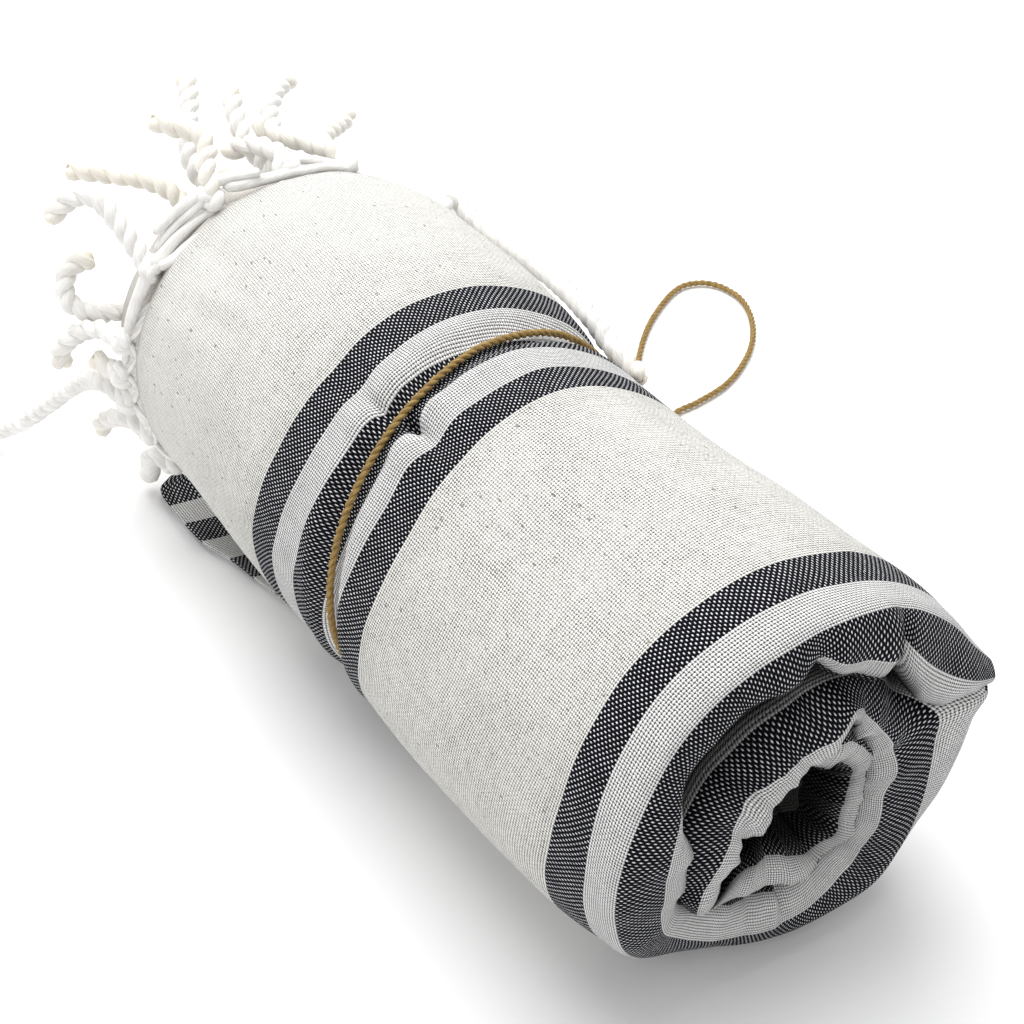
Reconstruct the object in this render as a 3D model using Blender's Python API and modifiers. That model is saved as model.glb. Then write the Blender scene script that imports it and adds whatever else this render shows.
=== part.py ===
"""A hammam towel, folded to a strip, wound into a roll and tied with twine.

The towel is folded eight times along its length and once across its width. The
strip of cloth that this gives is wound two and a half turns, so that its folded
edges show as a spiral at one end (+X) and its knotted fringe at the other (-X).
Units are metres, +Z is up, and the roll lies on the plane z = 0 along X.
"""

import math

import bmesh
import bpy
import numpy as np
from mathutils import Vector

MM = 0.001

# ---- driving dimensions --------------------------------------------------------------
ROLL_RADIUS = 53.0 * MM  # outer ply, over the back and the top
AXIS_HEIGHT = 52.1 * MM  # less than the radius: the roll's weight flattens its underside
CLOTH_LENGTH = 227.0 * MM  # one eighth of a towel 1.82 m long
RIM_AT = 14.0 * MM  # how far the near end's highest fold stands past x = 0
TURN_GAP = 0.8 * MM  # between one turn of the strip and the next
SIT_GAP = 0.3 * MM  # between pieces that touch
STATION_STEP = 10  # degrees of the winding from one section to the next

TWINE_RADIUS = 1.1 * MM
TWINE_SLACK = 0.15 * MM
BRIDGE_ANGLE = 30.0  # degrees over which the twine climbs on to the strip's outer end
WAIST_DEPTH = 4.0 * MM  # how far the tied twine sinks into the cloth
WAIST_X = -115.5 * MM
LEAN_FRONT = -0.20  # the twine runs askew: metres along X for each metre along Y
LEAN_BACK = -0.12
WAIST_HALF_WIDTH = 5.0 * MM  # where the cloth is back to half of that depth
WAIST_STATIONS = (-24.0, -14.0, -7.5, -3.5, 0.0, 3.5, 7.5, 14.0, 24.0)  # mm across it

SWELL = 2.0 * MM
SWELL_ANGLE = 52.0
SWELL_SPREAD = 52.0
SWELL_SPAN = (138.0 * MM, 158.0 * MM)  # it sets in between these distances past x = 0

SAG_FROM = -140.0 * MM  # past here the roll bends a little towards the back
SAG_SIDEWAYS = 4.0 * MM

TASSEL_RADIUS = 2.6 * MM
KNOT_RADIUS = 3.8 * MM
TASSEL_STEP = 4.6 * MM
TASSEL_TILT = math.radians(40)  # of each step: the two plies are twisted together
ROOT_RADIUS = 1.2 * MM
HEADING_DEPTH = 2.6 * MM  # the narrow strip that the tassels are knotted from
HEADING_WIDTH = 2.6 * MM
HEADING_INSET = 2.2 * MM  # how far inside its turn's outer face it lies
HEADING_STEP = 10  # degrees

# The bounding box of the cloth stands centred on the origin.
CENTRE_X = -141.5 * MM
CENTRE_Y = -3.9 * MM

# ---- the winding ---------------------------------------------------------------------
# One row per place along the strip: the angle it has turned through (0 is the back, 90
# the top, 180 the front), the radius of its outer face, the crest of its fold at the
# near end (radius, and distance past x = 0), the radius of the fold's inner lip there,
# and how far the far end stands back from the outermost edge. Millimetres.
WINDING_COLUMNS = ("angle", "outer", "crest", "crest_x", "lip", "far_back")
WINDING = (
    (10, 53.2, 55.5, 17.0, 52.2, 16.0),
    (30, 53.3, 53.0, 16.0, 49.0, 18.0),
    (60, 53.2, 50.5, 13.5, 45.0, 14.0),
    (90, 53.0, 50.0, 13.5, 43.5, 3.0),
    (120, 53.0, 50.3, 13.5, 43.8, -0.5),
    (150, 53.0, 48.5, 14.0, 43.0, -0.4),
    (190, 53.0, 49.0, 12.0, 40.5, 0.5),
    (225, 53.0, 48.0, 8.0, 39.0, 2.0),
    (270, 53.0, 47.0, 5.0, 38.0, 2.0),
    (310, 52.0, 47.5, 7.0, 38.0, 1.5),
    (340, 51.2, 48.5, 10.0, 38.0, 1.5),
    (365, 49.2, 45.0, 11.0, 34.5, 2.0),
    (390, 44.0, 34.5, 10.0, 28.5, 3.0),
    (420, 40.6, 28.5, 11.0, 25.0, 3.0),
    (450, 39.6, 26.5, 12.0, 24.0, 3.0),
    (490, 39.4, 25.0, 11.5, 23.0, 3.5),
    (530, 37.8, 28.5, 9.5, 24.5, 4.0),
    (570, 36.6, 30.0, 7.5, 25.5, 4.0),
    (630, 35.2, 28.5, 5.0, 24.0, 4.0),
    (680, 33.0, 26.0, 6.5, 22.5, 4.0),
    (720, 28.6, 23.5, 8.0, 17.5, 4.5),
    (760, 23.6, 19.0, 8.5, 14.0, 5.0),
    (810, 22.2, 15.5, 8.0, 11.0, 5.5),
    (850, 21.6, 15.0, 6.0, 10.5, 6.0),
    (900, 21.4, 15.0, 4.0, 10.5, 6.5),
    (940, 21.0, 16.5, 2.0, 12.5, 7.0),
)
CORE_RADIUS = 9.0 * MM  # of the hollow in the middle of the roll
END_TAPER = 50.0  # degrees over which the strip's outer end comes up to full thickness
END_THICKNESS = 3.0 * MM

# The strip's loose outer corner stands off the roll at the near end.
PEEL = 3.2 * MM
PEEL_FROM = -45.0 * MM
PEEL_ANGLE = 55.0

# ---- the loose ply -------------------------------------------------------------------
# Its outer edge on the floor, from the far corner towards the near end: x, y, and the
# height of its underside there. Millimetres.
LOOSE_EDGE_COLUMNS = ("x", "y", "lift")
LOOSE_EDGE = (
    (-236, -33.0, 0.6),
    (-231, -38.5, 1.4),
    (-221, -40.2, 2.2),
    (-210, -40.8, 2.8),
    (-199, -40.2, 2.6),
    (-188, -36.8, 2.0),
    (-178, -35.2, 1.6),
    (-166, -33.0, 1.2),
    (-152, -31.0, 1.0),
)
LOOSE_INNER_Y = -17.6 * MM  # where it runs in under the roll
LOOSE_THICKNESS = 1.6 * MM

# ---- the fringe ----------------------------------------------------------------------
# Each tassel's root is an angle round the roll's far edge, and its route from there is
# a few points by hand (x, y, z in millimetres). Those on the surface rest on it.
OUTER_HEADING = (30, 260)
INNER_HEADING = (400, 610)
CORE_HEADING = (760, 930)
BACK_HEADING = (280, 360)

OUTER_TASSELS = {
    "folded_back": (38, ((-203, 46.5, 85), (-208.5, 50.5, 83), (-208, 55, 80), (-201, 55.5, 78.9),
                         (-187.5, 54.9, 78.3), (-173, 54.6, 79.2), (-158.5, 53, 80.2), (-145, 51.2, 81.4),
                         (-134.5, 50.2, 80.5), (-126.5, 49.7, 79.4), (-118, 49.5, 78.3), (-111, 49.6, 77.7))),
    "over_the_top": (70, ((-216.5, 20.1, 104.8), (-221, 17.4, 105.8), (-225, 13.9, 106.7), (-229, 10.5, 107.2),
                          (-233, 7.7, 108.3), (-237, 6.6, 110.3))),
    "short_arch": (92, ((-218, 5.2, 106.4), (-223, 4, 107.8), (-228, 1.7, 107.6), (-232, -1.2, 106.1),
                        (-236, -3.5, 102.9))),
    "crown": (117, ((-218, -17.7, 106), (-222, -16.7, 109.9), (-226, -13.8, 112.2), (-230, -13.6, 114.4),
                    (-233, -16.4, 115.7), (-236, -20.2, 116.8), (-239, -23.9, 118.8))),
    "shoulder": (138, ((-218, -38.3, 87), (-222, -39, 90.2), (-226, -40.1, 93.7), (-230, -41.3, 97.4),
                       (-234, -42.8, 100.7), (-238, -45.1, 102.3), (-241, -48.6, 101.1), (-243, -52.3, 97.9),
                       (-244, -55.3, 95))),
    "lower_loop": (163, ((-220, -49.2, 66.8), (-226, -50.8, 67.2), (-231, -53.7, 65.8), (-235, -57.8, 62.2),
                         (-237.5, -60.6, 56.4), (-238, -59.4, 51.8))),
    "hook": (174, ((-220, -50.1, 55.6), (-225, -52.1, 56.2), (-229, -54.5, 58.3))),
    "reaching": (185, ((-220, -49.8, 47), (-226, -51.5, 48.6), (-234, -53, 46.6), (-243, -55, 41),
                       (-252, -57.6, 32.6), (-262, -61.8, 22.5), (-272, -66, 13.4), (-283, -70.6, 6),
                       (-292, -76, 3.2), (-298.9, -81.8, 2.95))),
    "low_hook": (203, ((-222, -47.4, 37), (-229, -49.4, 35), (-235, -51.2, 31), (-238, -52.4, 26))),
    "corner_stub": (218, ((-220, -44, 24), (-227, -42.5, 15.5), (-233, -40.5, 8.6), (-238, -39, 4.2))),
    "under": (254, ((-219, -9, 4), (-229, -8, 3), (-244, -11, 2.95), (-259, -10, 2.95), (-274, -5, 2.95))),
}
INNER_TASSELS = {
    "inner_back": (410, ((-224, 24, 86), (-233, 24.5, 96), (-240, 30.5, 97.1), (-247, 39.2, 94.7),
                         (-252, 45.6, 93.9))),
    "inner_curl": (432, ((-224, 14, 91), (-236, 13, 100), (-245, 15.5, 105.5), (-253, 22, 107.5),
                         (-260, 30.6, 106.6))),
    "inner_rise": (449, ((-223, 4.5, 91), (-232, 5.5, 98), (-240, 4, 105), (-247, 5.5, 109.5),
                         (-254, 8.2, 111.8))),
    "inner_upright": (467, ((-224, -8, 88), (-232, -12, 96), (-238, -13.5, 103), (-246, -9.9, 108.8),
                            (-251, -6.4, 111.5), (-256, -3.8, 114.3), (-261, -2.2, 117))),
    "inner_level": (488, ((-224, -17, 83), (-232, -18.5, 91), (-238, -21, 96), (-243, -25, 98.2),
                          (-247, -29.5, 99), (-251, -34.2, 99.7), (-254, -38.8, 100.4), (-257, -43, 101.3))),
    "ring": (516, ((-222, -33, 68), (-229, -40, 68.5), (-233, -48.4, 68.2), (-236, -53, 69.4),
                   (-238.5, -55.6, 73), (-240, -54.6, 78), (-240.5, -50.4, 81.4), (-239.5, -45.4, 81.4))),
    "inner_low": (548, ((-223, -34, 44), (-233, -37, 38), (-245, -37, 30), (-257, -33, 22), (-267, -27, 15))),
    "inner_under": (596, ((-224, -20, 22), (-234, -20, 17), (-247, -15, 13), (-260, -7, 12))),
}
CORE_TASSELS = {
    "core_top": (780, ((-228, 14, 66), (-240, 14, 70), (-253, 11, 75), (-265, 9, 82))),
    "core_front": (850, ((-228, -10, 65), (-240, -13, 66), (-253, -14, 62), (-266, -11, 55))),
    "core_low": (915, ((-228, -13, 45), (-241, -15, 40), (-254, -12, 34), (-266, -5, 31))),
}
BACK_TASSELS = {
    "back_under": (288, ((-221, 18, 5.4), (-232, 21, 3.2), (-247, 20, 2.95), (-261, 23, 2.95),
                         (-274, 30, 2.95))),
    "back_floor": (312, ((-221, 36, 14), (-231, 40, 8.4), (-244, 44, 3.8), (-258, 47, 2.95),
                         (-273, 46, 2.95))),
    "back_low": (336, ((-221, 48, 31), (-232, 52, 27), (-244, 55, 20), (-254, 59, 11.4), (-263, 66, 4),
                       (-273, 73.7, 2.95))),
    "back_mid": (358, ((-221, 52, 51), (-232, 56, 51), (-244, 59, 46), (-254, 60, 38), (-261, 59, 29))),
}

# ---- the twine -----------------------------------------------------------------------
TIE_ANGLE = -36.0  # degrees: the knot is low on the back of the roll
TIE_KNOT_RADIUS = 3.4 * MM
# The bow's loop runs from the knot down to the surface and back: x, y, z, millimetres.
LOOP_ROUTE = (
    (-123.0, 44.9, 20.5),
    (-126.0, 49.2, 17.7),
    (-130.5, 55.0, 12.8),
    (-137.0, 62.7, 6.6),
    (-146.0, 71.7, 2.6),
    (-157.0, 83.0, 1.3),
    (-171.0, 96.5, 1.3),
    (-186.0, 109.0, 1.3),
    (-197.0, 116.8, 1.3),
    (-206.0, 123.8, 1.3),
    (-217.0, 135.3, 1.3),
    (-226.0, 147.8, 1.3),
    (-232.0, 160.0, 1.3),
    (-231.5, 168.3, 1.3),
    (-225.5, 173.9, 1.3),
    (-214.5, 174.6, 1.3),
    (-202.0, 169.0, 1.3),
    (-191.0, 159.6, 1.3),
    (-182.5, 147.8, 1.3),
    (-177.5, 136.3, 1.3),
    (-175.4, 124.2, 1.3),
    (-174.8, 114.5, 1.3),
    (-169.5, 104.0, 1.3),
    (-161.0, 93.5, 1.3),
    (-150.5, 82.5, 1.8),
    (-140.5, 71.9, 4.8),
    (-132.5, 62.8, 10.3),
    (-126.6, 54.5, 17.0),
    (-123.3, 48.7, 21.6),
    (-121.7, 45.4, 23.3),
)


# ---- small helpers -------------------------------------------------------------------
def clear_scene():
    for obj in list(bpy.data.objects):
        bpy.data.objects.remove(obj, do_unlink=True)


def new_collection(name):
    collection = bpy.data.collections.new(name)
    bpy.context.scene.collection.children.link(collection)
    return collection


def principled(name, colour, roughness):
    material = bpy.data.materials.new(name)
    material.use_nodes = True
    shader = material.node_tree.nodes["Principled BSDF"]
    shader.inputs["Base Color"].default_value = (*colour, 1.0)
    shader.inputs["Roughness"].default_value = roughness
    shader.inputs["Metallic"].default_value = 0.0
    return material


def mesh_object(name, mesh, material, collection):
    mesh.materials.clear()
    mesh.materials.append(material)
    mesh.shade_smooth()
    mesh.set_sharp_from_angle(angle=math.radians(40))
    obj = bpy.data.objects.new(name, mesh)
    collection.objects.link(obj)
    return obj


def smooth_route(points, step):
    """A Catmull-Rom curve through the points, read about every step along it."""
    given = np.array(points, float)
    padded = np.vstack([2 * given[0] - given[1], given, 2 * given[-1] - given[-2]])
    fine = []
    for i in range(len(given) - 1):
        before, start, end, after = padded[i : i + 4]
        for t in np.linspace(0.0, 1.0, 24, endpoint=False):
            fine.append(0.5 * (2 * start + (end - before) * t
                               + (2 * before - 5 * start + 4 * end - after) * t * t
                               + (3 * start - before - 3 * end + after) * t ** 3))
    fine.append(given[-1])
    fine = np.array(fine)
    along = np.concatenate([[0.0], np.cumsum(np.linalg.norm(np.diff(fine, axis=0), axis=1))])
    count = max(2, int(round(along[-1] / step)))
    places = np.linspace(0.0, along[-1], count + 1)
    return np.stack([np.interp(places, along, fine[:, k]) for k in range(3)], axis=1)


def smooth_step(value, low, high):
    t = min(1.0, max(0.0, (value - low) / (high - low)))
    return t * t * (3.0 - 2.0 * t)


# ---- the roll ------------------------------------------------------------------------
def winding(angle):
    """The winding table's columns at any angle, in metres, by smooth interpolation."""
    rows = np.array(WINDING, float)
    at = rows[:, 0]
    slopes = np.gradient(rows[:, 1:], at, axis=0)
    i = int(np.clip(np.searchsorted(at, angle) - 1, 0, len(at) - 2))
    width = at[i + 1] - at[i]
    t = np.clip((angle - at[i]) / width, 0.0, 1.0)
    value = (rows[i, 1:] * (1 + 2 * t) * (1 - t) ** 2 + slopes[i] * width * t * (1 - t) ** 2
             + rows[i + 1, 1:] * t * t * (3 - 2 * t) + slopes[i + 1] * width * t * t * (t - 1))
    return dict(zip(WINDING_COLUMNS[1:], value * MM))


LAST_ANGLE = WINDING[-1][0]
FIRST_ANGLE = WINDING[0][0]
FAR_X = RIM_AT - CLOTH_LENGTH


def axis_y(x):
    """The roll's centre line bends towards the back at its far end."""
    return SAG_SIDEWAYS * smooth_step(-x, -SAG_FROM, -FAR_X)


def swell(x, angle):
    """The far half is a little fuller over the back and the top."""
    away = ((angle + 180.0) % 360.0 - 180.0 - SWELL_ANGLE) / SWELL_SPREAD
    if angle > 360 or abs(away) > 1:
        return 0.0
    return SWELL * math.cos(away * math.pi / 2) ** 2 * smooth_step(-x, *SWELL_SPAN)


def waist_middle(angle):
    """Where the twine crosses this angle of the roll."""
    y = ROLL_RADIUS * math.cos(math.radians(angle))
    return WAIST_X + (LEAN_BACK if y > 0 else LEAN_FRONT) * y


def under_the_end(angle):
    """1 beneath the strip's outer end, which the twine presses on the turn below."""
    return 1.0 - smooth_step(angle, FIRST_ANGLE, FIRST_ANGLE + END_TAPER)


def waist(x, angle):
    """How far the twine draws a turn's outer face in at this place."""
    share = under_the_end(angle - 360) if angle > 360 else 1.0
    away = (x - waist_middle(angle)) / WAIST_HALF_WIDTH
    return share * WAIST_DEPTH / (1.0 + away * away)


def peel(x, angle):
    """How far the loose outer corner stands off at the near end."""
    fade = 1.0 - smooth_step(angle, FIRST_ANGLE, FIRST_ANGLE + PEEL_ANGLE)
    return PEEL * fade * smooth_step(x, PEEL_FROM, RIM_AT)


def place(x, radius, angle):
    turned = math.radians(angle)
    y = axis_y(x) + radius * math.cos(turned)
    return Vector((x, y, max(0.0, AXIS_HEIGHT + radius * math.sin(turned))))


def strip_section(angle):
    """The strip's closed section at this angle: out along its outer face, over the
    fold at the near end, back along its inner face and round the far edge."""
    row = winding(angle)
    outer = row["outer"]
    under = winding(angle + 360)["outer"] if angle + 360 <= LAST_ANGLE else CORE_RADIUS
    if angle + 360 > LAST_ANGLE:
        left = smooth_step(angle + 360, LAST_ANGLE, LAST_ANGLE + 60)
        under = (1 - left) * winding(LAST_ANGLE)["outer"] + left * CORE_RADIUS
    inner = under + TURN_GAP
    grown = smooth_step(angle, FIRST_ANGLE, FIRST_ANGLE + END_TAPER)
    inner = max(inner, (outer - END_THICKNESS) * (1 - grown) + inner * grown)
    lip = max(row["lip"], inner + 0.2 * MM)
    far = FAR_X + row["far_back"]
    crest_x, crest = row["crest_x"], row["crest"]
    shoulder = max(7.0 * MM, 1.1 * (outer - crest))
    middle = waist_middle(angle)
    tied = [middle + offset * MM for offset in WAIST_STATIONS]
    face = [far + 1.2 * MM, -190 * MM, -168 * MM, *tied, -70 * MM, -45 * MM, -25 * MM,
            crest_x - shoulder]
    ring = [(x, outer - waist(x, angle) + peel(x, angle) + swell(x, angle)) for x in face]
    lifted = peel(crest_x, angle)
    for part in (0.34, 0.67, 1.0):
        turned = part * math.pi / 2
        ring.append((crest_x - shoulder * (1 - math.sin(turned)),
                     crest + lifted + (outer - crest) * math.cos(turned)))
    ring.append((crest_x - 1.6 * MM, 0.45 * crest + 0.55 * lip + lifted))
    ring.append((crest_x - 6.0 * MM, lip + lifted))
    ring.append((crest_x - 20.0 * MM, inner + 0.4 * (lip - inner) + peel(crest_x - 20 * MM, angle)))
    for x in (-60 * MM, middle + 9 * MM, middle, middle - 9 * MM, -170 * MM):
        ring.append((x, inner - waist(x, angle + 360)))
    ring.append((far + 1.2 * MM, inner + 0.2 * MM))
    ring.append((far, inner + 1.2 * MM))
    ring.append((far, outer - 1.2 * MM))
    return [place(x, radius, angle) for x, radius in ring]


def make_roll(material, collection):
    """The wound strip: its sections are joined from the loose corner to the core."""
    shape = bmesh.new()
    rings = []
    for angle in range(FIRST_ANGLE, LAST_ANGLE + 1, STATION_STEP):
        rings.append([shape.verts.new(point) for point in strip_section(angle)])
    for one, two in zip(rings, rings[1:]):
        for k in range(len(one)):
            after = (k + 1) % len(one)
            shape.faces.new((one[k], one[after], two[after], two[k]))
    shape.faces.new(rings[0])
    shape.faces.new(list(reversed(rings[-1])))
    bmesh.ops.triangulate(shape, faces=shape.faces[:])
    bmesh.ops.recalc_face_normals(shape, faces=shape.faces[:])
    mesh = bpy.data.meshes.new("towel_roll")
    shape.to_mesh(mesh)
    shape.free()
    return mesh_object("towel_roll", mesh, material, collection)


# ---- the loose ply -------------------------------------------------------------------
def make_loose_edge(material, collection):
    """One ply sticks out from under the roll: an open sheet, thickened upwards."""
    outer = smooth_route([(x, y, lift) for x, y, lift in LOOSE_EDGE], 5.0) * MM
    shape = bmesh.new()
    across = (0.0, 0.3, 0.62, 0.86, 1.0)
    lines = []
    for x, y, lift in outer:
        inner = LOOSE_INNER_Y + axis_y(x)
        line = []
        for part in across:
            height = lift * part ** 2.5
            line.append(shape.verts.new((x, inner + (y - inner) * part, height)))
        lines.append(line)
    for one, two in zip(lines, lines[1:]):
        for k in range(len(across) - 1):
            shape.faces.new((one[k], one[k + 1], two[k + 1], two[k]))
    bmesh.ops.recalc_face_normals(shape, faces=shape.faces[:])
    mesh = bpy.data.meshes.new("loose_edge")
    shape.to_mesh(mesh)
    shape.free()
    if mesh.polygons[0].normal.z < 0:
        mesh.flip_normals()
    obj = mesh_object("loose_edge", mesh, material, collection)
    solid = obj.modifiers.new("ply", "SOLIDIFY")
    solid.thickness = LOOSE_THICKNESS
    solid.offset = 1.0
    return obj


# ---- the fringe ----------------------------------------------------------------------
def curve_object(name, points, depth, resolution):
    """A poly curve with a round bevel and filled caps."""
    curve = bpy.data.curves.new(name, "CURVE")
    curve.dimensions = "3D"
    curve.bevel_depth = depth
    curve.bevel_resolution = resolution
    curve.use_fill_caps = True
    spline = curve.splines.new("POLY")
    spline.points.add(len(points) - 1)
    for point, place_at in zip(spline.points, points):
        point.co = (*place_at, 1.0)
    obj = bpy.data.objects.new(name, curve)
    bpy.context.scene.collection.objects.link(obj)
    return obj


def as_mesh_object(curve_obj, name):
    """The curve made a mesh with its caps welded on."""
    bpy.context.view_layer.update()
    graph = bpy.context.evaluated_depsgraph_get()
    mesh = bpy.data.meshes.new_from_object(curve_obj.evaluated_get(graph))
    shape = bmesh.new()
    shape.from_mesh(mesh)
    bmesh.ops.remove_doubles(shape, verts=shape.verts[:], dist=0.00001)
    bmesh.ops.recalc_face_normals(shape, faces=shape.faces[:])
    shape.to_mesh(mesh)
    shape.free()
    obj = bpy.data.objects.new(name, mesh)
    obj.matrix_world = curve_obj.matrix_world
    bpy.data.objects.remove(curve_obj, do_unlink=True)
    return obj


def heading_point(angle, depth, offset=0.0):
    """A point on a fringe's heading, depth behind the far edge of its own turn."""
    row = winding(angle)
    x = FAR_X + row["far_back"] - SIT_GAP - depth
    return place(x, row["outer"] - HEADING_INSET + offset, angle)


def make_heading(name, angles):
    """The narrow strip that a turn's tassels are rooted in."""
    shape = bmesh.new()
    half = HEADING_WIDTH / 2
    corners = ((0.0, -half), (0.0, half), (HEADING_DEPTH, 0.8 * half), (HEADING_DEPTH, -0.8 * half))
    rings = []
    for angle in np.linspace(angles[0], angles[1], round((angles[1] - angles[0]) / HEADING_STEP) + 1):
        rings.append([shape.verts.new(heading_point(angle, depth, offset)) for depth, offset in corners])
    for one, two in zip(rings, rings[1:]):
        for k in range(4):
            shape.faces.new((one[k], one[(k + 1) % 4], two[(k + 1) % 4], two[k]))
    shape.faces.new(rings[0])
    shape.faces.new(list(reversed(rings[-1])))
    bmesh.ops.recalc_face_normals(shape, faces=shape.faces[:])
    mesh = bpy.data.meshes.new(name)
    shape.to_mesh(mesh)
    shape.free()
    return mesh


def make_tassel(name, angle, route):
    """A four-sided twisted strand with the knot it starts from."""
    root = heading_point(angle, 0.6 * HEADING_DEPTH)
    points = smooth_route([root] + [Vector(p) * MM for p in route], TASSEL_STEP)
    obj = curve_object(name, points, TASSEL_RADIUS, 0)
    spline = obj.data.splines[0]
    knot_at = 1 if len(points) > 2 else 0
    for i, point in enumerate(spline.points):
        point.tilt = i * TASSEL_TILT
        point.radius = 0.94 if i % 2 else 1.0
    spline.points[0].radius = ROOT_RADIUS / TASSEL_RADIUS
    spline.points[knot_at].radius = KNOT_RADIUS / TASSEL_RADIUS
    spline.points[len(points) - 1].radius = 0.75
    return as_mesh_object(obj, name)


def make_fringe(name, angles, tassels, material, collection, cutters):
    """One turn's fringe: the heading with its tassels joined on by their roots."""
    fringe = mesh_object(name, make_heading(name, angles), material, collection)
    for key, (angle, route) in tassels.items():
        strand = make_tassel(name + "." + key, angle, route)
        strand.hide_render = True
        strand.display_type = "WIRE"
        cutters.objects.link(strand)
        join = fringe.modifiers.new(key, "BOOLEAN")
        join.operation = "UNION"
        join.solver = "EXACT"
        join.object = strand
    return fringe


# ---- the twine -----------------------------------------------------------------------
def ring_point(angle):
    """The middle of the twine where it lies in the waist of the roll. Near the angle 0
    it climbs over the strip's outer end."""
    climbed = smooth_step(angle, -BRIDGE_ANGLE, FIRST_ANGLE)
    below = winding(min(angle, FIRST_ANGLE) + 360)["outer"]
    above = winding(max(angle, FIRST_ANGLE))["outer"]
    outer = (1 - climbed) * below + climbed * above
    radius = outer - WAIST_DEPTH + SIT_GAP + TWINE_RADIUS + TWINE_SLACK
    return place(waist_middle(angle), radius, angle)


def make_twine(name, points, material, collection):
    obj = curve_object(name, points, TWINE_RADIUS, 2)
    bpy.context.scene.collection.objects.unlink(obj)
    collection.objects.link(obj)
    obj.data.materials.append(material)
    return obj


def make_tie(material, collection):
    """The band round the waist, the knot low on the back, and the bow's long loop."""
    clear = math.degrees((TIE_KNOT_RADIUS + SIT_GAP + 0.5 * MM) / ROLL_RADIUS)
    angles = np.linspace(TIE_ANGLE + clear, TIE_ANGLE + 360 - clear, 68)
    make_twine("tie_band", [ring_point(angle) for angle in angles], material, collection)

    middle = Vector(ring_point(TIE_ANGLE))
    out = Vector((0.0, math.cos(math.radians(TIE_ANGLE)), math.sin(math.radians(TIE_ANGLE))))
    bpy.ops.mesh.primitive_uv_sphere_add(segments=10, ring_count=6, radius=TIE_KNOT_RADIUS)
    knot = bpy.context.object
    knot.name = "tie_knot"
    knot.data.name = "tie_knot"
    for vertex in knot.data.vertices:
        vertex.co.x *= 1.15
        vertex.co.z *= 0.92
        vertex.co += middle + out * (TIE_KNOT_RADIUS - TWINE_RADIUS + 0.2 * MM)
    knot.data.shade_smooth()
    knot.data.materials.append(material)
    for linked in list(knot.users_collection):
        linked.objects.unlink(knot)
    collection.objects.link(knot)

    route = smooth_route([Vector(p) * MM for p in LOOP_ROUTE], 4.6 * MM)
    make_twine("tie_loop", route, material, collection)


def centre_all(collection):
    """Moves the finished pieces so that the cloth's box stands on the origin."""
    for obj in collection.objects:
        obj.location = Vector((-CENTRE_X, -CENTRE_Y, 0.0)) + obj.location


def main():
    clear_scene()
    towel = new_collection("hammam_towel")
    cutters = new_collection("strands_to_join")
    cloth = principled("woven_cotton", (0.82, 0.80, 0.75), 0.9)
    yarn = principled("fringe_yarn", (0.86, 0.85, 0.81), 0.9)
    twine = principled("tan_twine", (0.42, 0.28, 0.12), 0.7)

    make_roll(cloth, towel)
    make_loose_edge(cloth, towel)
    make_fringe("fringe_outer", OUTER_HEADING, OUTER_TASSELS, yarn, towel, cutters)
    make_fringe("fringe_inner", INNER_HEADING, INNER_TASSELS, yarn, towel, cutters)
    make_fringe("fringe_core", CORE_HEADING, CORE_TASSELS, yarn, towel, cutters)
    make_fringe("fringe_back", BACK_HEADING, BACK_TASSELS, yarn, towel, cutters)
    make_tie(twine, towel)
    centre_all(towel)
    for strand in cutters.objects:
        strand.location = Vector((-CENTRE_X, -CENTRE_Y, 0.0))


main()
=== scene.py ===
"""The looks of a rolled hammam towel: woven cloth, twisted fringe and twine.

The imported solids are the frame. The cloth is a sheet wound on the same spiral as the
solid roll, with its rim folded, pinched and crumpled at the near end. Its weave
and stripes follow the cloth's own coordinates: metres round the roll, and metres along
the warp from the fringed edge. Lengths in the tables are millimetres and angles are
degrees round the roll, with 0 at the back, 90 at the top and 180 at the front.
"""

import logging
import math
from dataclasses import dataclass
from enum import Enum
from typing import Optional, Sequence, Union

import bpy
import numpy as np
from mathutils import Matrix, Vector

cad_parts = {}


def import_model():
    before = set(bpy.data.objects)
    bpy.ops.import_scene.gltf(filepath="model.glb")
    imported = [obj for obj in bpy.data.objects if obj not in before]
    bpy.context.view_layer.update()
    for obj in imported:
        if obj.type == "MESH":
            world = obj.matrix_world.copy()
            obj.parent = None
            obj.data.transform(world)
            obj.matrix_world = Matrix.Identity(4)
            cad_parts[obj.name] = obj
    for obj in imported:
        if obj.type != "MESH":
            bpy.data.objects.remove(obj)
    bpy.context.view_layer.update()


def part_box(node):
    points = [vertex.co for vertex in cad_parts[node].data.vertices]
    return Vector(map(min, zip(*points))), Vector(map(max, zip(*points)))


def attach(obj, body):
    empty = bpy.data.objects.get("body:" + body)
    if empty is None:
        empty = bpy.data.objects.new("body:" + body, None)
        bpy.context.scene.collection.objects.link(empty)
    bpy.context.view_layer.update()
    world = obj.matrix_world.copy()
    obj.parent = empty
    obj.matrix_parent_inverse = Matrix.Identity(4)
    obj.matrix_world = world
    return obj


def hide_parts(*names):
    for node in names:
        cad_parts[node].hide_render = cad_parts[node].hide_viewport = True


LOG = logging.getLogger("hammam_towel")
MM = 0.001
ROOT = "root"
ROLL_ORIGIN = np.array([141.5, 3.9, 0.0])  # of the tables' own frame, in the part's frame
PHOTO_PIXELS = 1024
SEAM_MERGE = 0.00001  # metres, where a sheet's last column meets its first
STRAND_MERGE = 0.000002  # metres, where a strand's ring closes
CURVE_READS = 24  # places read on a curve between two of its points
RELIEF_STRENGTH = 0.8
STRAND_APART = 37.0  # millimetres from one strand's place in the finish to the next one's


class Slot(Enum):
    """Names for three material slots; nothing here uses them."""

    CLOTH = "woven_cotton"
    YARN = "fringe_yarn"
    TWINE = "tan_twine"
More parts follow.
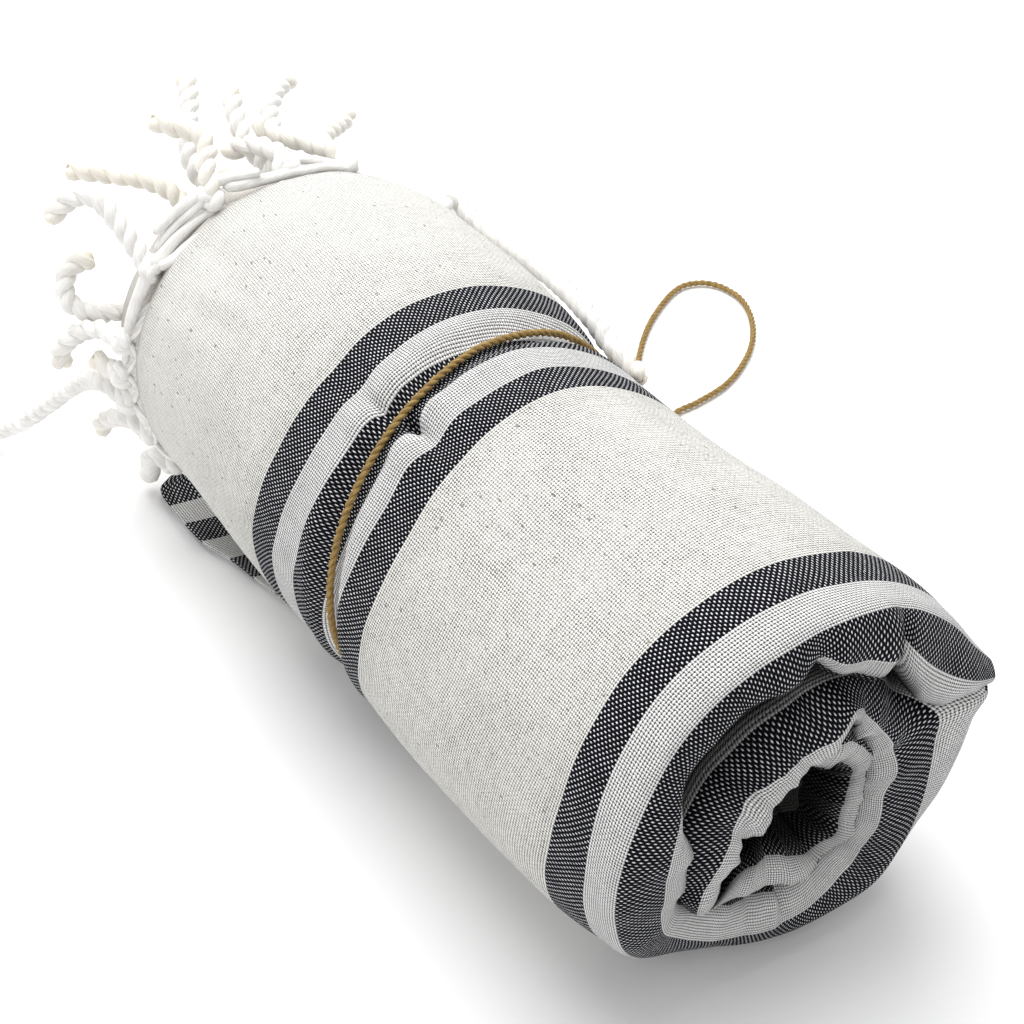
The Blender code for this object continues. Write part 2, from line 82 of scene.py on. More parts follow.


# ---- routes, as in the solids: x, y, z in millimetres ----------------------------------
LOOP_ROUTE = (
    (-123.0, 44.9, 20.5), (-126.0, 49.2, 17.7), (-130.5, 55.0, 12.8), (-137.0, 62.7, 6.6),
    (-146.0, 71.7, 2.6), (-157.0, 83.0, 1.3), (-171.0, 96.5, 1.3), (-186.0, 109.0, 1.3),
    (-197.0, 116.8, 1.3), (-206.0, 123.8, 1.3), (-217.0, 135.3, 1.3), (-226.0, 147.8, 1.3),
    (-232.0, 160.0, 1.3), (-231.5, 168.3, 1.3), (-225.5, 173.9, 1.3), (-214.5, 174.6, 1.3),
    (-202.0, 169.0, 1.3), (-191.0, 159.6, 1.3), (-182.5, 147.8, 1.3), (-177.5, 136.3, 1.3),
    (-175.4, 124.2, 1.3), (-174.8, 114.5, 1.3), (-169.5, 104.0, 1.3), (-161.0, 93.5, 1.3),
    (-150.5, 82.5, 1.8), (-140.5, 71.9, 4.8), (-132.5, 62.8, 10.3), (-126.6, 54.5, 17.0),
    (-123.3, 48.7, 21.6), (-121.7, 45.4, 23.3),
)
# Each tassel: the angle of its root round the winding, and its route from there.
OUTER_TASSELS = {
    "folded_back": (38, ((-203, 46.5, 85.5), (-208.5, 50.6, 83.5), (-208, 55.4, 80.5), (-201, 56, 79.4),
                         (-187.5, 55.7, 79), (-173, 55.6, 79.8), (-158.5, 54.4, 81), (-145, 52.2, 82),
                         (-134.5, 50.8, 81), (-126.5, 49.7, 79.3), (-118, 49.2, 78), (-111, 48.6, 76.8))),
    "over_the_top": (70, ((-216.5, 20.1, 104.8), (-221, 17.4, 105.8), (-225, 13.9, 106.7),
                          (-229, 10.5, 107.2), (-233, 7.7, 108.3), (-237, 6.6, 110.3))),
    "short_arch": (92, ((-218, 5.2, 106.4), (-223, 4, 107.8), (-228, 1.7, 107.6), (-232, -1.2, 106.1),
                        (-236, -3.5, 102.9))),
    "crown": (117, ((-218, -17.7, 106), (-222, -16.7, 109.9), (-226, -13.8, 112.2), (-230, -13.6, 114.4),
                    (-233, -16.4, 115.7), (-236, -20.2, 116.8), (-239, -23.9, 118.8))),
    "shoulder": (138, ((-218, -38.3, 87), (-222, -39, 90.2), (-226, -40.1, 93.7), (-230, -41.3, 97.4),
                       (-234, -42.8, 100.7), (-238, -45.1, 102.3), (-241, -48.6, 101.1),
                       (-243, -52.3, 97.9), (-244, -55.3, 95))),
    "lower_loop": (163, ((-220, -49.2, 66.8), (-226, -50.8, 67.2), (-231, -53.7, 65.8), (-235, -57.8, 62.2),
                         (-237.5, -60.6, 56.4), (-238, -59.4, 51.8))),
    "hook": (174, ((-220, -50.1, 55.6), (-225, -52.1, 56.2), (-229, -54.5, 58.3))),
    "reaching": (185, ((-220, -49.8, 47), (-226, -51.5, 48.6), (-234, -53, 46.6), (-243, -55, 41),
                       (-252, -57.6, 32.6), (-262, -61.8, 22.5), (-272, -66, 13.4), (-283, -70.6, 6),
                       (-292, -76, 3.2), (-298.9, -81.8, 2.95))),
    "low_hook": (203, ((-222, -47.4, 37), (-229, -49.4, 35), (-235, -51.2, 31), (-238, -52.4, 26))),
    "corner_stub": (218, ((-220, -44, 24), (-227, -42.5, 15.5), (-233, -40.5, 8.6), (-238, -39, 4.2))),
    "under": (254, ((-219, -9, 4), (-229, -8, 3), (-244, -11, 2.95), (-259, -10, 2.95), (-274, -5, 2.95))),
}
INNER_TASSELS = {
    "inner_back": (410, ((-224, 24, 86), (-233, 24.5, 96), (-240, 30.5, 97.1), (-247, 39.2, 94.7),
                         (-252, 45.6, 93.9))),
    "inner_curl": (432, ((-224, 14, 91), (-236, 13, 100), (-245, 15.5, 105.5), (-253, 22, 107.5),
                         (-260, 30.6, 106.6))),
    "inner_rise": (449, ((-223, 4.5, 91), (-232, 5.5, 98), (-240, 4, 105), (-247, 5.5, 109.5),
                         (-254, 8.2, 111.8))),
    "inner_upright": (467, ((-224, -8, 88), (-232, -12, 96), (-238, -13.5, 103), (-246, -9.9, 108.8),
                            (-251, -6.4, 111.5), (-256, -3.8, 114.3), (-261, -2.2, 117))),
    "inner_level": (488, ((-224, -17, 83), (-232, -18.5, 91), (-238, -21, 96), (-243, -25, 98.2),
                          (-247, -29.5, 99), (-251, -34.2, 99.7), (-254, -38.8, 100.4), (-257, -43, 101.3))),
    "ring": (516, ((-222, -33, 68), (-229, -40, 68.5), (-233, -48.4, 68.2), (-236, -53, 69.4),
                   (-238.5, -55.6, 73), (-240, -54.6, 78), (-240.5, -50.4, 81.4), (-239.5, -45.4, 81.4))),
    "inner_low": (548, ((-223, -34, 44), (-233, -37, 38), (-245, -37, 30), (-257, -33, 22), (-267, -27, 15))),
    "inner_under": (596, ((-224, -20, 22), (-234, -20, 17), (-247, -15, 13), (-260, -7, 12))),
}
CORE_TASSELS = {
    "core_top": (780, ((-228, 14, 66), (-240, 14, 70), (-253, 11, 75), (-265, 9, 82))),
    "core_front": (850, ((-228, -10, 65), (-240, -13, 66), (-253, -14, 62), (-266, -11, 55))),
    "core_low": (915, ((-228, -13, 45), (-241, -15, 40), (-254, -12, 34), (-266, -5, 31))),
}
BACK_TASSELS = {
    "back_under": (288, ((-221, 18, 5.4), (-232, 21, 3.2), (-247, 20, 2.95), (-261, 23, 2.95),
                         (-274, 30, 2.95))),
    "back_floor": (312, ((-221, 36, 14), (-231, 40, 8.4), (-244, 44, 3.8), (-258, 47, 2.95),
                         (-273, 46, 2.95))),
    "back_low": (336, ((-221, 48, 31), (-232, 52, 27), (-244, 55, 20), (-254, 59, 11.4), (-263, 66, 4),
                       (-273, 73.7, 2.95))),
    "back_mid": (358, ((-221, 52, 51), (-232, 56, 51), (-244, 59, 46), (-254, 60, 38), (-261, 59, 29))),
}
FRINGES = {
    "fringe_outer": OUTER_TASSELS,
    "fringe_inner": INNER_TASSELS,
    "fringe_core": CORE_TASSELS,
    "fringe_back": BACK_TASSELS,
}

# Where the warp is gathered thickly towards a tassel: the bundle's points from its
# knot along the cloth's edge, and its radius at either end.
GATHERED = {
    "shoulder": (
        (((-216, -38.5, 88.7), (-216.5, -40.9, 84.1), (-217, -43.9, 78.5), (-217.5, -46.2, 73.2),
          (-217.5, -48.2, 66.7), (-217, -49.9, 60)), 2.3, 1.0),
        (((-216, -38.5, 88.7), (-217, -34.6, 90.2), (-217.2, -29.6, 93.9), (-216.8, -24.9, 96.7),
          (-215.8, -20.5, 98.9), (-213.5, -15.5, 101.1)), 2.0, 1.1),
        (((-215.5, -37.5, 88.6), (-214.4, -33.6, 89.3), (-213.6, -28.2, 93), (-213, -22.6, 96.3),
          (-212.2, -16.5, 99.4)), 1.7, 0.8),
    ),
    "crown": (
        (((-218, -18.2, 105.6), (-218.6, -21.2, 104), (-219.6, -25.8, 101.2), (-220.2, -30.4, 98.4),
          (-220.4, -34.9, 95.4)), 1.9, 1.3),
        (((-217.4, -19.0, 103.6), (-217.8, -22.6, 101), (-218.6, -27.2, 98), (-219.2, -31.6, 94.6),
          (-219.4, -35.4, 91)), 1.5, 1.0),
        (((-218, -17, 106.4), (-216.5, -13.1, 107.6), (-215, -8.6, 107.8), (-213.5, -4.6, 108)), 1.7, 1.3),
        (((-216.4, -15, 105.4), (-214.5, -10.2, 105.4), (-213.3, -1.7, 105.4), (-212, 6.2, 105.4),
          (-210.6, 14.8, 104.6), (-208, 22.6, 102.6)), 1.8, 1.1),
    ),
    "short_arch": (
        (((-218, 5.2, 106.4), (-216, 9.4, 106.2), (-213.5, 14.2, 105.4), (-210.5, 19.4, 103.6)), 1.6, 1.0),
    ),
}


# ---- small numeric helpers -----------------------------------------------------------
def smooth_step(value: np.ndarray | float, low: float, high: float) -> np.ndarray | float:
    """A soft step from 0 at low to 1 at high.

    Args:
        value: where it is read.
        low: the last place where it is 0.
        high: the first place where it is 1.

    Returns:
        The step's height there.
    """
    t = np.clip((value - low) / (high - low), 0.0, 1.0)
    return t * t * (3.0 - 2.0 * t)


def plateau(value: np.ndarray, rise: Sequence[float], fall: Sequence[float]) -> np.ndarray:
    """1 between a soft rise and a soft fall, and 0 beyond them."""
    return smooth_step(value, *rise) * (1.0 - smooth_step(value, *fall))


def cubic(
    start: np.ndarray, leave: np.ndarray, end: np.ndarray, arrive: np.ndarray, t: np.ndarray | float
) -> np.ndarray:
    """A place on the smooth curve between two values.

    Args:
        start: the value at its start.
        leave: the slope there, over the whole span.
        end: the value at its end.
        arrive: the slope there, over the whole span.
        t: how far along the span, from 0 to 1.

    Returns:
        The values there.
    """
    return (
        start * (1 + 2 * t) * (1 - t) ** 2
        + leave * t * (1 - t) ** 2
        + end * t * t * (3 - 2 * t)
        + arrive * t * t * (t - 1)
    )


def span_slopes(points: Sequence[np.ndarray]) -> tuple[np.ndarray, np.ndarray]:
    """The slopes at both ends of the middle one of three spans.

    Args:
        points: the four arrays of points that bound the spans.

    Returns:
        The slope where the middle span starts and the one where it ends, over its length.
    """
    before, start, end, after = points
    spans = (start - before, end - start, after - end)
    first, width, last = (np.linalg.norm(span, axis=1)[:, None] for span in spans)
    leave = (start - before) / first * width + (end - start) / width * first
    arrive = (end - start) / width * last + (after - end) / last * width
    return width * leave / (first + width), width * arrive / (width + last)


def running(steps: np.ndarray) -> np.ndarray:
    """The sum of the steps so far, from 0."""
    return np.concatenate([[0.0], np.cumsum(steps)])


def lengths_along(line: np.ndarray) -> np.ndarray:
    """How far along a line of points each of them lies."""
    return running(np.linalg.norm(np.diff(line, axis=0), axis=1))


def smooth_table(rows: Sequence[Sequence[float]], at: np.ndarray) -> np.ndarray:
    """Reads a table's columns between its rows on smooth curves.

    Args:
        rows: the table, with what it is read by in its first column.
        at: where to read it, one value for each line of the result.

    Returns:
        The other columns at those places.
    """
    table = np.array(rows, float)
    keys, values = table[:, 0], table[:, 1:]
    slopes = np.gradient(values, keys, axis=0)
    i = np.clip(np.searchsorted(keys, at) - 1, 0, len(keys) - 2)
    width = (keys[i + 1] - keys[i])[:, None]
    t = np.clip((at - keys[i])[:, None] / width, 0.0, 1.0)
    return cubic(values[i], slopes[i] * width, values[i + 1], slopes[i + 1] * width, t)


def smooth_route(points: Sequence[Sequence[float]], step: float) -> np.ndarray:
    """A smooth curve through the points, read about every step along it.

    Args:
        points: the points that it passes.
        step: the distance from one place read to the next.

    Returns:
        The places, one a line.
    """
    given = np.array(points, float)
    padded = np.vstack([2 * given[0] - given[1], given, 2 * given[-1] - given[-2]])
    fine = []
    for i in range(len(given) - 1):
        before, start, end, after = padded[i : i + 4]
        for t in np.linspace(0.0, 1.0, CURVE_READS, endpoint=False):
            fine.append(
                0.5
                * (
                    2 * start
                    + (end - before) * t
                    + (2 * before - 5 * start + 4 * end - after) * t * t
                    + (3 * start - before - 3 * end + after) * t**3
                )
            )
    fine.append(given[-1])
    line = np.array(fine)
    along = lengths_along(line)
    places = np.linspace(0.0, along[-1], max(2, round(along[-1] / step)) + 1)
    return np.stack([np.interp(places, along, line[:, k]) for k in range(3)], axis=1)


def resampled(line: np.ndarray, count: int) -> np.ndarray:
    """A line of points read again at a number of even places."""
    places = np.linspace(0, len(line) - 1, count)
    return np.stack([np.interp(places, np.arange(len(line)), line[:, j]) for j in range(3)], axis=1)


def length_of(line: np.ndarray) -> float:
    """The length of a line of points."""
    return float(np.linalg.norm(np.diff(line, axis=0), axis=1).sum())


def carried_frames(line: np.ndarray) -> tuple[np.ndarray, np.ndarray]:
    """Two directions across a line at each of its points, carried along untwisted.

    Args:
        line: the points.

    Returns:
        The two directions, one of each a line.
    """
    along = np.gradient(line, axis=0)
    along /= np.linalg.norm(along, axis=1)[:, None]
    start = np.cross(along[0], (0.0, 0.0, 1.0))
    if np.linalg.norm(start) < 0.1:
        start = np.cross(along[0], (0.0, 1.0, 0.0))
    side = start / np.linalg.norm(start)
    sides = []
    for direction in along:
        side = side - direction * float(side @ direction)
        side = side / np.linalg.norm(side)
        sides.append(side)
    across = np.array(sides)
    return across, np.cross(along, across)


def laid_round(line: np.ndarray, turn: np.ndarray, lay: np.ndarray | float) -> np.ndarray:
    """The centre line of a ply that is laid round another line.

    Args:
        line: the points that it goes round.
        turn: how far it has turned at each of them, in radians.
        lay: its distance from them.

    Returns:
        The ply's points.
    """
    across, up = carried_frames(line)
    return line + np.reshape(lay, (-1, 1)) * (np.cos(turn)[:, None] * across + np.sin(turn)[:, None] * up)


def overhand_knot(
    middle: np.ndarray, axes: Sequence[np.ndarray], size: float, depth: float, count: int
) -> np.ndarray:
    """The closed line of an overhand knot.

    Args:
        middle: its place.
        axes: two directions across it and the one through it.
        size: half a strand's swing, in millimetres.
        depth: how far the strand weaves through it, in sizes.
        count: the number of points.

    Returns:
        The points, the last on the first.
    """
    t = np.linspace(0.0, 2 * np.pi, count)
    return middle + size * (
        (np.sin(t) + 2 * np.sin(2 * t))[:, None] * axes[0]
        + (np.cos(t) - 2 * np.cos(2 * t))[:, None] * axes[1]
        - (depth * np.sin(3 * t))[:, None] * axes[2]
    )


# ---- making meshes -------------------------------------------------------------------
def deselect_all() -> None:
    """Leaves nothing selected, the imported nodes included."""
    if bpy.context.mode != "OBJECT":
        bpy.ops.object.mode_set(mode="OBJECT")
    bpy.ops.object.select_all(action="DESELECT")


def edit_all(piece: bpy.types.Object) -> None:
    """Opens one piece in edit mode with all of it selected.

    Args:
        piece: the piece.
    """
    deselect_all()
    piece.select_set(True)
    bpy.context.view_layer.objects.active = piece
    bpy.ops.object.mode_set(mode="EDIT")
    bpy.ops.mesh.select_all(action="SELECT")


def point_values(piece: bpy.types.Object, name: str, values: np.ndarray) -> None:
    """Gives a piece a number at each of its points, for its finish to read."""
    layer = piece.data.attributes.new(name, "FLOAT", "POINT")
    layer.data.foreach_set("value", values.reshape(-1).astype(np.float32))


def corner_points(piece: bpy.types.Object) -> np.ndarray:
    """The point that each corner of a piece's faces lies on.

    Args:
        piece: the piece.

    Returns:
        The points' numbers, a corner at a time.
    """
    corners = np.zeros(len(piece.data.loops), np.int32)
    piece.data.loops.foreach_get("vertex_index", corners)
    return corners


def grid_sheet(
    name: str,
    points: np.ndarray,
    cloth: Optional[np.ndarray] = None,
    closed_rows: bool = False,
    dark: Optional[np.ndarray] = None,
) -> bpy.types.Object:
    """A grid primitive whose vertices are put in place line by line.

    Args:
        name: the object's name.
        points: the places in metres, as lines of columns of three numbers.
        cloth: the two cloth coordinates of each place, in metres.
        closed_rows: whether each line's last place falls on its first.
        dark: how much shade is painted on each place, from 0 to 1.

    Returns:
        The object, at the origin.
    """
    lines, columns = points.shape[:2]
    deselect_all()
    bpy.ops.mesh.primitive_grid_add(x_subdivisions=columns - 1, y_subdivisions=lines - 1, size=1.0)
    sheet = bpy.context.object
    sheet.name = name
    sheet.data.name = name
    sheet.data.vertices.foreach_set("co", points.reshape(-1).astype(np.float32))
    if cloth is not None:
        layer = sheet.data.uv_layers.active or sheet.data.uv_layers.new(name="cloth")
        layer.name = "cloth"
        at_corners = cloth.reshape(-1, 2)[corner_points(sheet)]
        layer.data.foreach_set("uv", at_corners.reshape(-1).astype(np.float32))
    if dark is not None:
        point_values(sheet, "painted_crevice_shade", dark)
    sheet.data.update()
    if closed_rows:
        edit_all(sheet)
        bpy.ops.mesh.remove_doubles(threshold=SEAM_MERGE)
        bpy.ops.object.mode_set(mode="OBJECT")
    return sheet


@dataclass
class Tube:
    """One strand of a bundle: its centre line and its radius at each point of it, how far its
    finish is the frayed tip's there, and the line that it is twisted round.
    """

    line: np.ndarray
    radius: np.ndarray
    tip: Optional[np.ndarray] = None
    core: Optional[np.ndarray] = None

    def rings(self, sides: int) -> np.ndarray:
        """The places round each point of the line.

        Args:
            sides: how many places there are round it; the first is given again at the end.

        Returns:
            The places, as lines of rings of three numbers.
        """
        across, up = carried_frames(self.line)
        turn = np.linspace(0.0, 2 * np.pi, sides + 1)
        ring = np.cos(turn)[None, :, None] * across[:, None] + np.sin(turn)[None, :, None] * up[:, None]
        return self.line[:, None] + self.radius[:, None, None] * ring

    def facing_core(self, rings: np.ndarray) -> np.ndarray:
        """How squarely each place faces the line that the strand is twisted round.

        Args:
            rings: the strand's places.

        Returns:
            From 0 for outwards to 1 for inwards, for each place.
        """
        if self.core is None:
            return np.zeros(rings.shape[:2])
        inward = self.core - self.line
        inward = inward / np.maximum(np.linalg.norm(inward, axis=1), 0.01)[:, None]
        out = (rings - self.line[:, None]) / self.radius[:, None, None]
        return np.clip((out * inward[:, None]).sum(axis=-1), 0.0, 1.0)


def bundle(name: str, tubes: Sequence[Tube], sides: int) -> bpy.types.Object:
    """Makes closed tubes from one grid primitive that is cut between them.

    Args:
        name: the object's name.
        tubes: the strands, each with the same number of points, in millimetres.
        sides: how many sides each has.

    Returns:
        The object. Its tip attribute is 1 at the frayed ends, and its attribute for the painted shade between
        the plies is 1 where a ply faces the other ones.
    """
    rings = [tube.rings(sides) for tube in tubes]
    places = np.concatenate(rings, axis=1) * MM
    places[..., 2] = np.maximum(places[..., 2], 0.0)
    lines, columns = places.shape[:2]
    coordinates = np.zeros((lines, columns, 2))
    for k, tube in enumerate(tubes):
        span = slice(k * (sides + 1), (k + 1) * (sides + 1))
        girth = float(tube.radius.max()) * np.linspace(0.0, 2 * np.pi, sides + 1)
        coordinates[:, span, 0] = girth[None, :] + STRAND_APART * k
        coordinates[:, span, 1] = lengths_along(tube.line)[:, None]
    piece = grid_sheet(name, places, coordinates * MM)
    tips = np.array([np.zeros(lines) if tube.tip is None else tube.tip for tube in tubes])
    point_values(piece, "tip", np.repeat(tips.T, sides + 1, axis=1))
    facing = [tube.facing_core(ring) for tube, ring in zip(tubes, rings)]
    point_values(piece, "groove_shade", np.concatenate(facing, axis=1))

    # the faces from one strand to the next go, and each strand's ring is then closed
    column = corner_points(piece).reshape(-1, 4) % columns % (sides + 1)
    between = (column.max(axis=1) == sides) & (column.min(axis=1) == 0)
    bpy.ops.object.mode_set(mode="EDIT")
    bpy.ops.mesh.select_mode(type="FACE")
    bpy.ops.object.mode_set(mode="OBJECT")
    piece.data.polygons.foreach_set("select", between)
    bpy.ops.object.mode_set(mode="EDIT")
    bpy.ops.mesh.delete(type="ONLY_FACE")
    bpy.ops.mesh.select_mode(type="VERT")
    bpy.ops.mesh.select_all(action="SELECT")
    bpy.ops.mesh.delete_loose(use_verts=False, use_edges=True, use_faces=False)
    bpy.ops.mesh.select_all(action="SELECT")
    bpy.ops.mesh.remove_doubles(threshold=STRAND_MERGE)
    bpy.ops.object.mode_set(mode="OBJECT")
    close_and_face_out(piece)
    return piece


def close_and_face_out(piece: bpy.types.Object) -> None:
    """Fills a piece's open ends and points its faces outwards.

    Args:
        piece: the piece.
    """
    edit_all(piece)
    bpy.ops.mesh.fill_holes(sides=0)
    bpy.ops.mesh.select_all(action="SELECT")
    bpy.ops.mesh.normals_make_consistent(inside=False)
    bpy.ops.object.mode_set(mode="OBJECT")


def join_all(pieces: Sequence[bpy.types.Object], name: str) -> bpy.types.Object:
    """Joins pieces into the first of them.

    Args:
        pieces: the pieces.
        name: the joined object's name.

    Returns:
        The joined object.
    """
    deselect_all()
    for piece in pieces:
        piece.select_set(True)
    bpy.context.view_layer.objects.active = pieces[0]
    if len(pieces) > 1:
        bpy.ops.object.join()
    pieces[0].name = name
    pieces[0].data.name = name
    return pieces[0]


def dress(piece: bpy.types.Object, material: bpy.types.Material) -> bpy.types.Object:
    """Gives a piece its finish, shades it smooth and lets it ride on the part.

    Args:
        piece: the piece.
        material: its finish.

    Returns:
        The piece.
    """
    piece.data.materials.clear()
    piece.data.materials.append(material)
    piece.data.shade_smooth()
    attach(piece, ROOT)
    return piece


# ---- shader maths --------------------------------------------------------------------
Feed = Union["Number", bpy.types.NodeSocket, float, Sequence[float]]  # what a socket takes


class Tree:
    """A material's node tree, and the one method that adds nodes to it."""

    def __init__(self, name: str) -> None:
        """Makes a material with only a Principled shader."""
        self.material = bpy.data.materials.new(name)
        self.material.use_nodes = True
        self.nodes = self.material.node_tree.nodes
        self.links = self.material.node_tree.links
        self.shader = self.nodes["Principled BSDF"]

    def node(
        self, kind: str, settings: Optional[dict] = None, inputs: Optional[dict] = None
    ) -> bpy.types.Node:
        """Adds a node.

        Args:
            kind: the node's type.
            settings: its attributes, set first.
            inputs: values, sockets or numbers by input name or index.

        Returns:
            The node.
        """
        made = self.nodes.new(kind)
        for key, value in (settings or {}).items():
            setattr(made, key, value)
        for key, value in (inputs or {}).items():
            self.feed(made.inputs[key], value)
        return made

    def feed(self, socket: bpy.types.NodeSocket, value: Feed) -> None:
        """Links or sets one input socket.

        Args:
            socket: the input.
            value: what it takes.
        """
        if isinstance(value, Number):
            self.links.new(value.socket, socket)
        elif isinstance(value, bpy.types.NodeSocket):
            self.links.new(value, socket)
        else:
            socket.default_value = value

    def number(self, socket: bpy.types.NodeSocket) -> "Number":
        """Wraps a socket for arithmetic."""
        return Number(self, socket)

    def mix(self, share: Feed, first: Feed, second: Feed) -> bpy.types.NodeSocket:
        """A colour between two colours.

        Args:
            share: how much of the second there is, from 0 to 1.
            first: the colour at 0.
            second: the colour at 1.

        Returns:
            The colour.
        """
        made = self.node("ShaderNodeMix", {"data_type": "RGBA"})
        self.feed(made.inputs["Factor"], share)
        self.feed(made.inputs[6], first)
        self.feed(made.inputs[7], second)
        return made.outputs[2]

    def noise(self, vector: Feed, scale: float, detail: float = 2.0) -> "Number":
        """Smooth noise about 0.5.

        Args:
            vector: where it is read.
            scale: how many swells there are to one unit of that.
            detail: how many finer noises are added.

        Returns:
            The noise, from 0 to 1.
        """
        made = self.node(
            "ShaderNodeTexNoise",
            {"noise_dimensions": "3D"},
            {"Vector": vector, "Scale": scale, "Detail": detail, "Roughness": 0.5},
        )
        return self.number(made.outputs["Fac"])

    def random(self, x: Feed, y: Feed) -> "Number":
        """A random number for each pair of whole numbers.

        Args:
            x: the first of the pair.
            y: the second.

        Returns:
            The number, from 0 to 1.
        """
        pair = self.node("ShaderNodeCombineXYZ", None, {"X": x, "Y": y})
        made = self.node("ShaderNodeTexWhiteNoise", {"noise_dimensions": "2D"}, {"Vector": pair.outputs[0]})
        return self.number(made.outputs["Value"])

    def vector(self, x: Feed, y: Feed, z: Feed = 0.0) -> bpy.types.NodeSocket:
        """A vector of three numbers."""
        return self.node("ShaderNodeCombineXYZ", None, {"X": x, "Y": y, "Z": z}).outputs[0]

    def cloth_place(self) -> tuple["Number", "Number"]:
        """Reads the piece's own two coordinates.

        Returns:
            How far round it a place lies, and how far along the warp or the strand.
        """
        place = self.node("ShaderNodeUVMap", {"uv_map": "cloth"}).outputs[0]
        parts = self.node("ShaderNodeSeparateXYZ", None, {0: place})
        return self.number(parts.outputs[0]), self.number(parts.outputs[1])

    def object_place(self) -> bpy.types.NodeSocket:
        """The place on the object, in metres."""
        return self.node("ShaderNodeTexCoord").outputs["Object"]

    def attribute(self, name: str) -> "Number":
        """One of the piece's point attributes."""
        return self.number(self.node("ShaderNodeAttribute", {"attribute_name": name}).outputs["Fac"])

    def fibres(self, around_scale: float, along_scale: float, lean: float) -> "Number":
        """Noise drawn out into fibres that lean round a ply."""
        around, along = self.cloth_place()
        return self.noise(self.vector(around * around_scale + along * lean, along * along_scale), 1.0, 3.0)

    def finished(
        self, colour: Feed, rough: float, specular: float, relief: Optional[Feed] = None, depth: float = 0.0
    ) -> bpy.types.Material:
        """Feeds the shader.

        Args:
            colour: the base colour.
            rough: the roughness all over.
            specular: how strongly it mirrors.
            relief: the height of its fine relief, from 0 to 1.
            depth: the relief's depth in metres.

        Returns:
            The material.
        """
        self.feed(self.shader.inputs["Base Color"], colour)
        self.shader.inputs["Roughness"].default_value = rough
        self.shader.inputs["Specular IOR Level"].default_value = specular
        if relief is not None:
            values = {"Strength": RELIEF_STRENGTH, "Distance": depth, "Height": relief}
            bump = self.node("ShaderNodeBump", None, values)
            self.feed(self.shader.inputs["Normal"], bump.outputs[0])
        return self.material


class Number:
    """A number that varies over a surface; arithmetic on it adds Math nodes."""

    def __init__(self, tree: Tree, socket: bpy.types.NodeSocket) -> None:
        """Wraps a socket."""
        self.tree = tree
        self.socket = socket

    def op(self, operation: str, *others: Feed) -> "Number":
        """Adds a Math node.

        Args:
            operation: what it works out.
            others: what it takes after this number.

        Returns:
            The result.
        """
        made = self.tree.node("ShaderNodeMath", {"operation": operation})
        for socket, value in zip(made.inputs, (self, *others)):
            self.tree.feed(socket, value)
        return Number(self.tree, made.outputs[0])

    def __add__(self, other: Feed) -> "Number":
        """Sum."""
        return self.op("ADD", other)

    def __radd__(self, other: Feed) -> "Number":
        """Sum, reflected."""
        return self.op("ADD", other)

    def __sub__(self, other: Feed) -> "Number":
        """Difference."""
        return self.op("SUBTRACT", other)

    def __rsub__(self, other: Feed) -> "Number":
        """Difference, reflected."""
        return self.op("MULTIPLY_ADD", -1.0, other)

    def __mul__(self, other: Feed) -> "Number":
        """Product."""
        return self.op("MULTIPLY", other)

    def __rmul__(self, other: Feed) -> "Number":
        """Product, reflected."""
        return self.op("MULTIPLY", other)

    def __truediv__(self, other: Feed) -> "Number":
        """Quotient."""
        return self.op("DIVIDE", other)

    def floor(self) -> "Number":
        """The whole number below."""
        return self.op("FLOOR")

    def fraction(self) -> "Number":
        """What is left above the whole number below."""
        return self.op("FRACT")

    def over(self, limit: Feed) -> "Number":
        """1 where it is more than limit."""
        return self.op("GREATER_THAN", limit)

    def under(self, limit: Feed) -> "Number":
        """1 where it is less than limit."""
        return self.op("LESS_THAN", limit)

    def most(self, other: Feed) -> "Number":
        """The greater of the two."""
        return self.op("MAXIMUM", other)

    def least(self, other: Feed) -> "Number":
        """The smaller of the two."""
        return self.op("MINIMUM", other)

    def sine(self) -> "Number":
        """Its sine."""
        return self.op("SINE")

    def absolute(self) -> "Number":
        """Its size without its sign."""
        return self.op("ABSOLUTE")

    def step(self, low: float, high: float) -> "Number":
        """A soft step.

        Args:
            low: the last number at which it is 0.
            high: the first at which it is 1.

        Returns:
            The step's height.
        """
        made = self.tree.node("ShaderNodeMapRange", {"interpolation_type": "SMOOTHSTEP"})
        for key, value in (("Value", self), ("From Min", low), ("From Max", high)):
            self.tree.feed(made.inputs[key], value)
        return Number(self.tree, made.outputs["Result"])


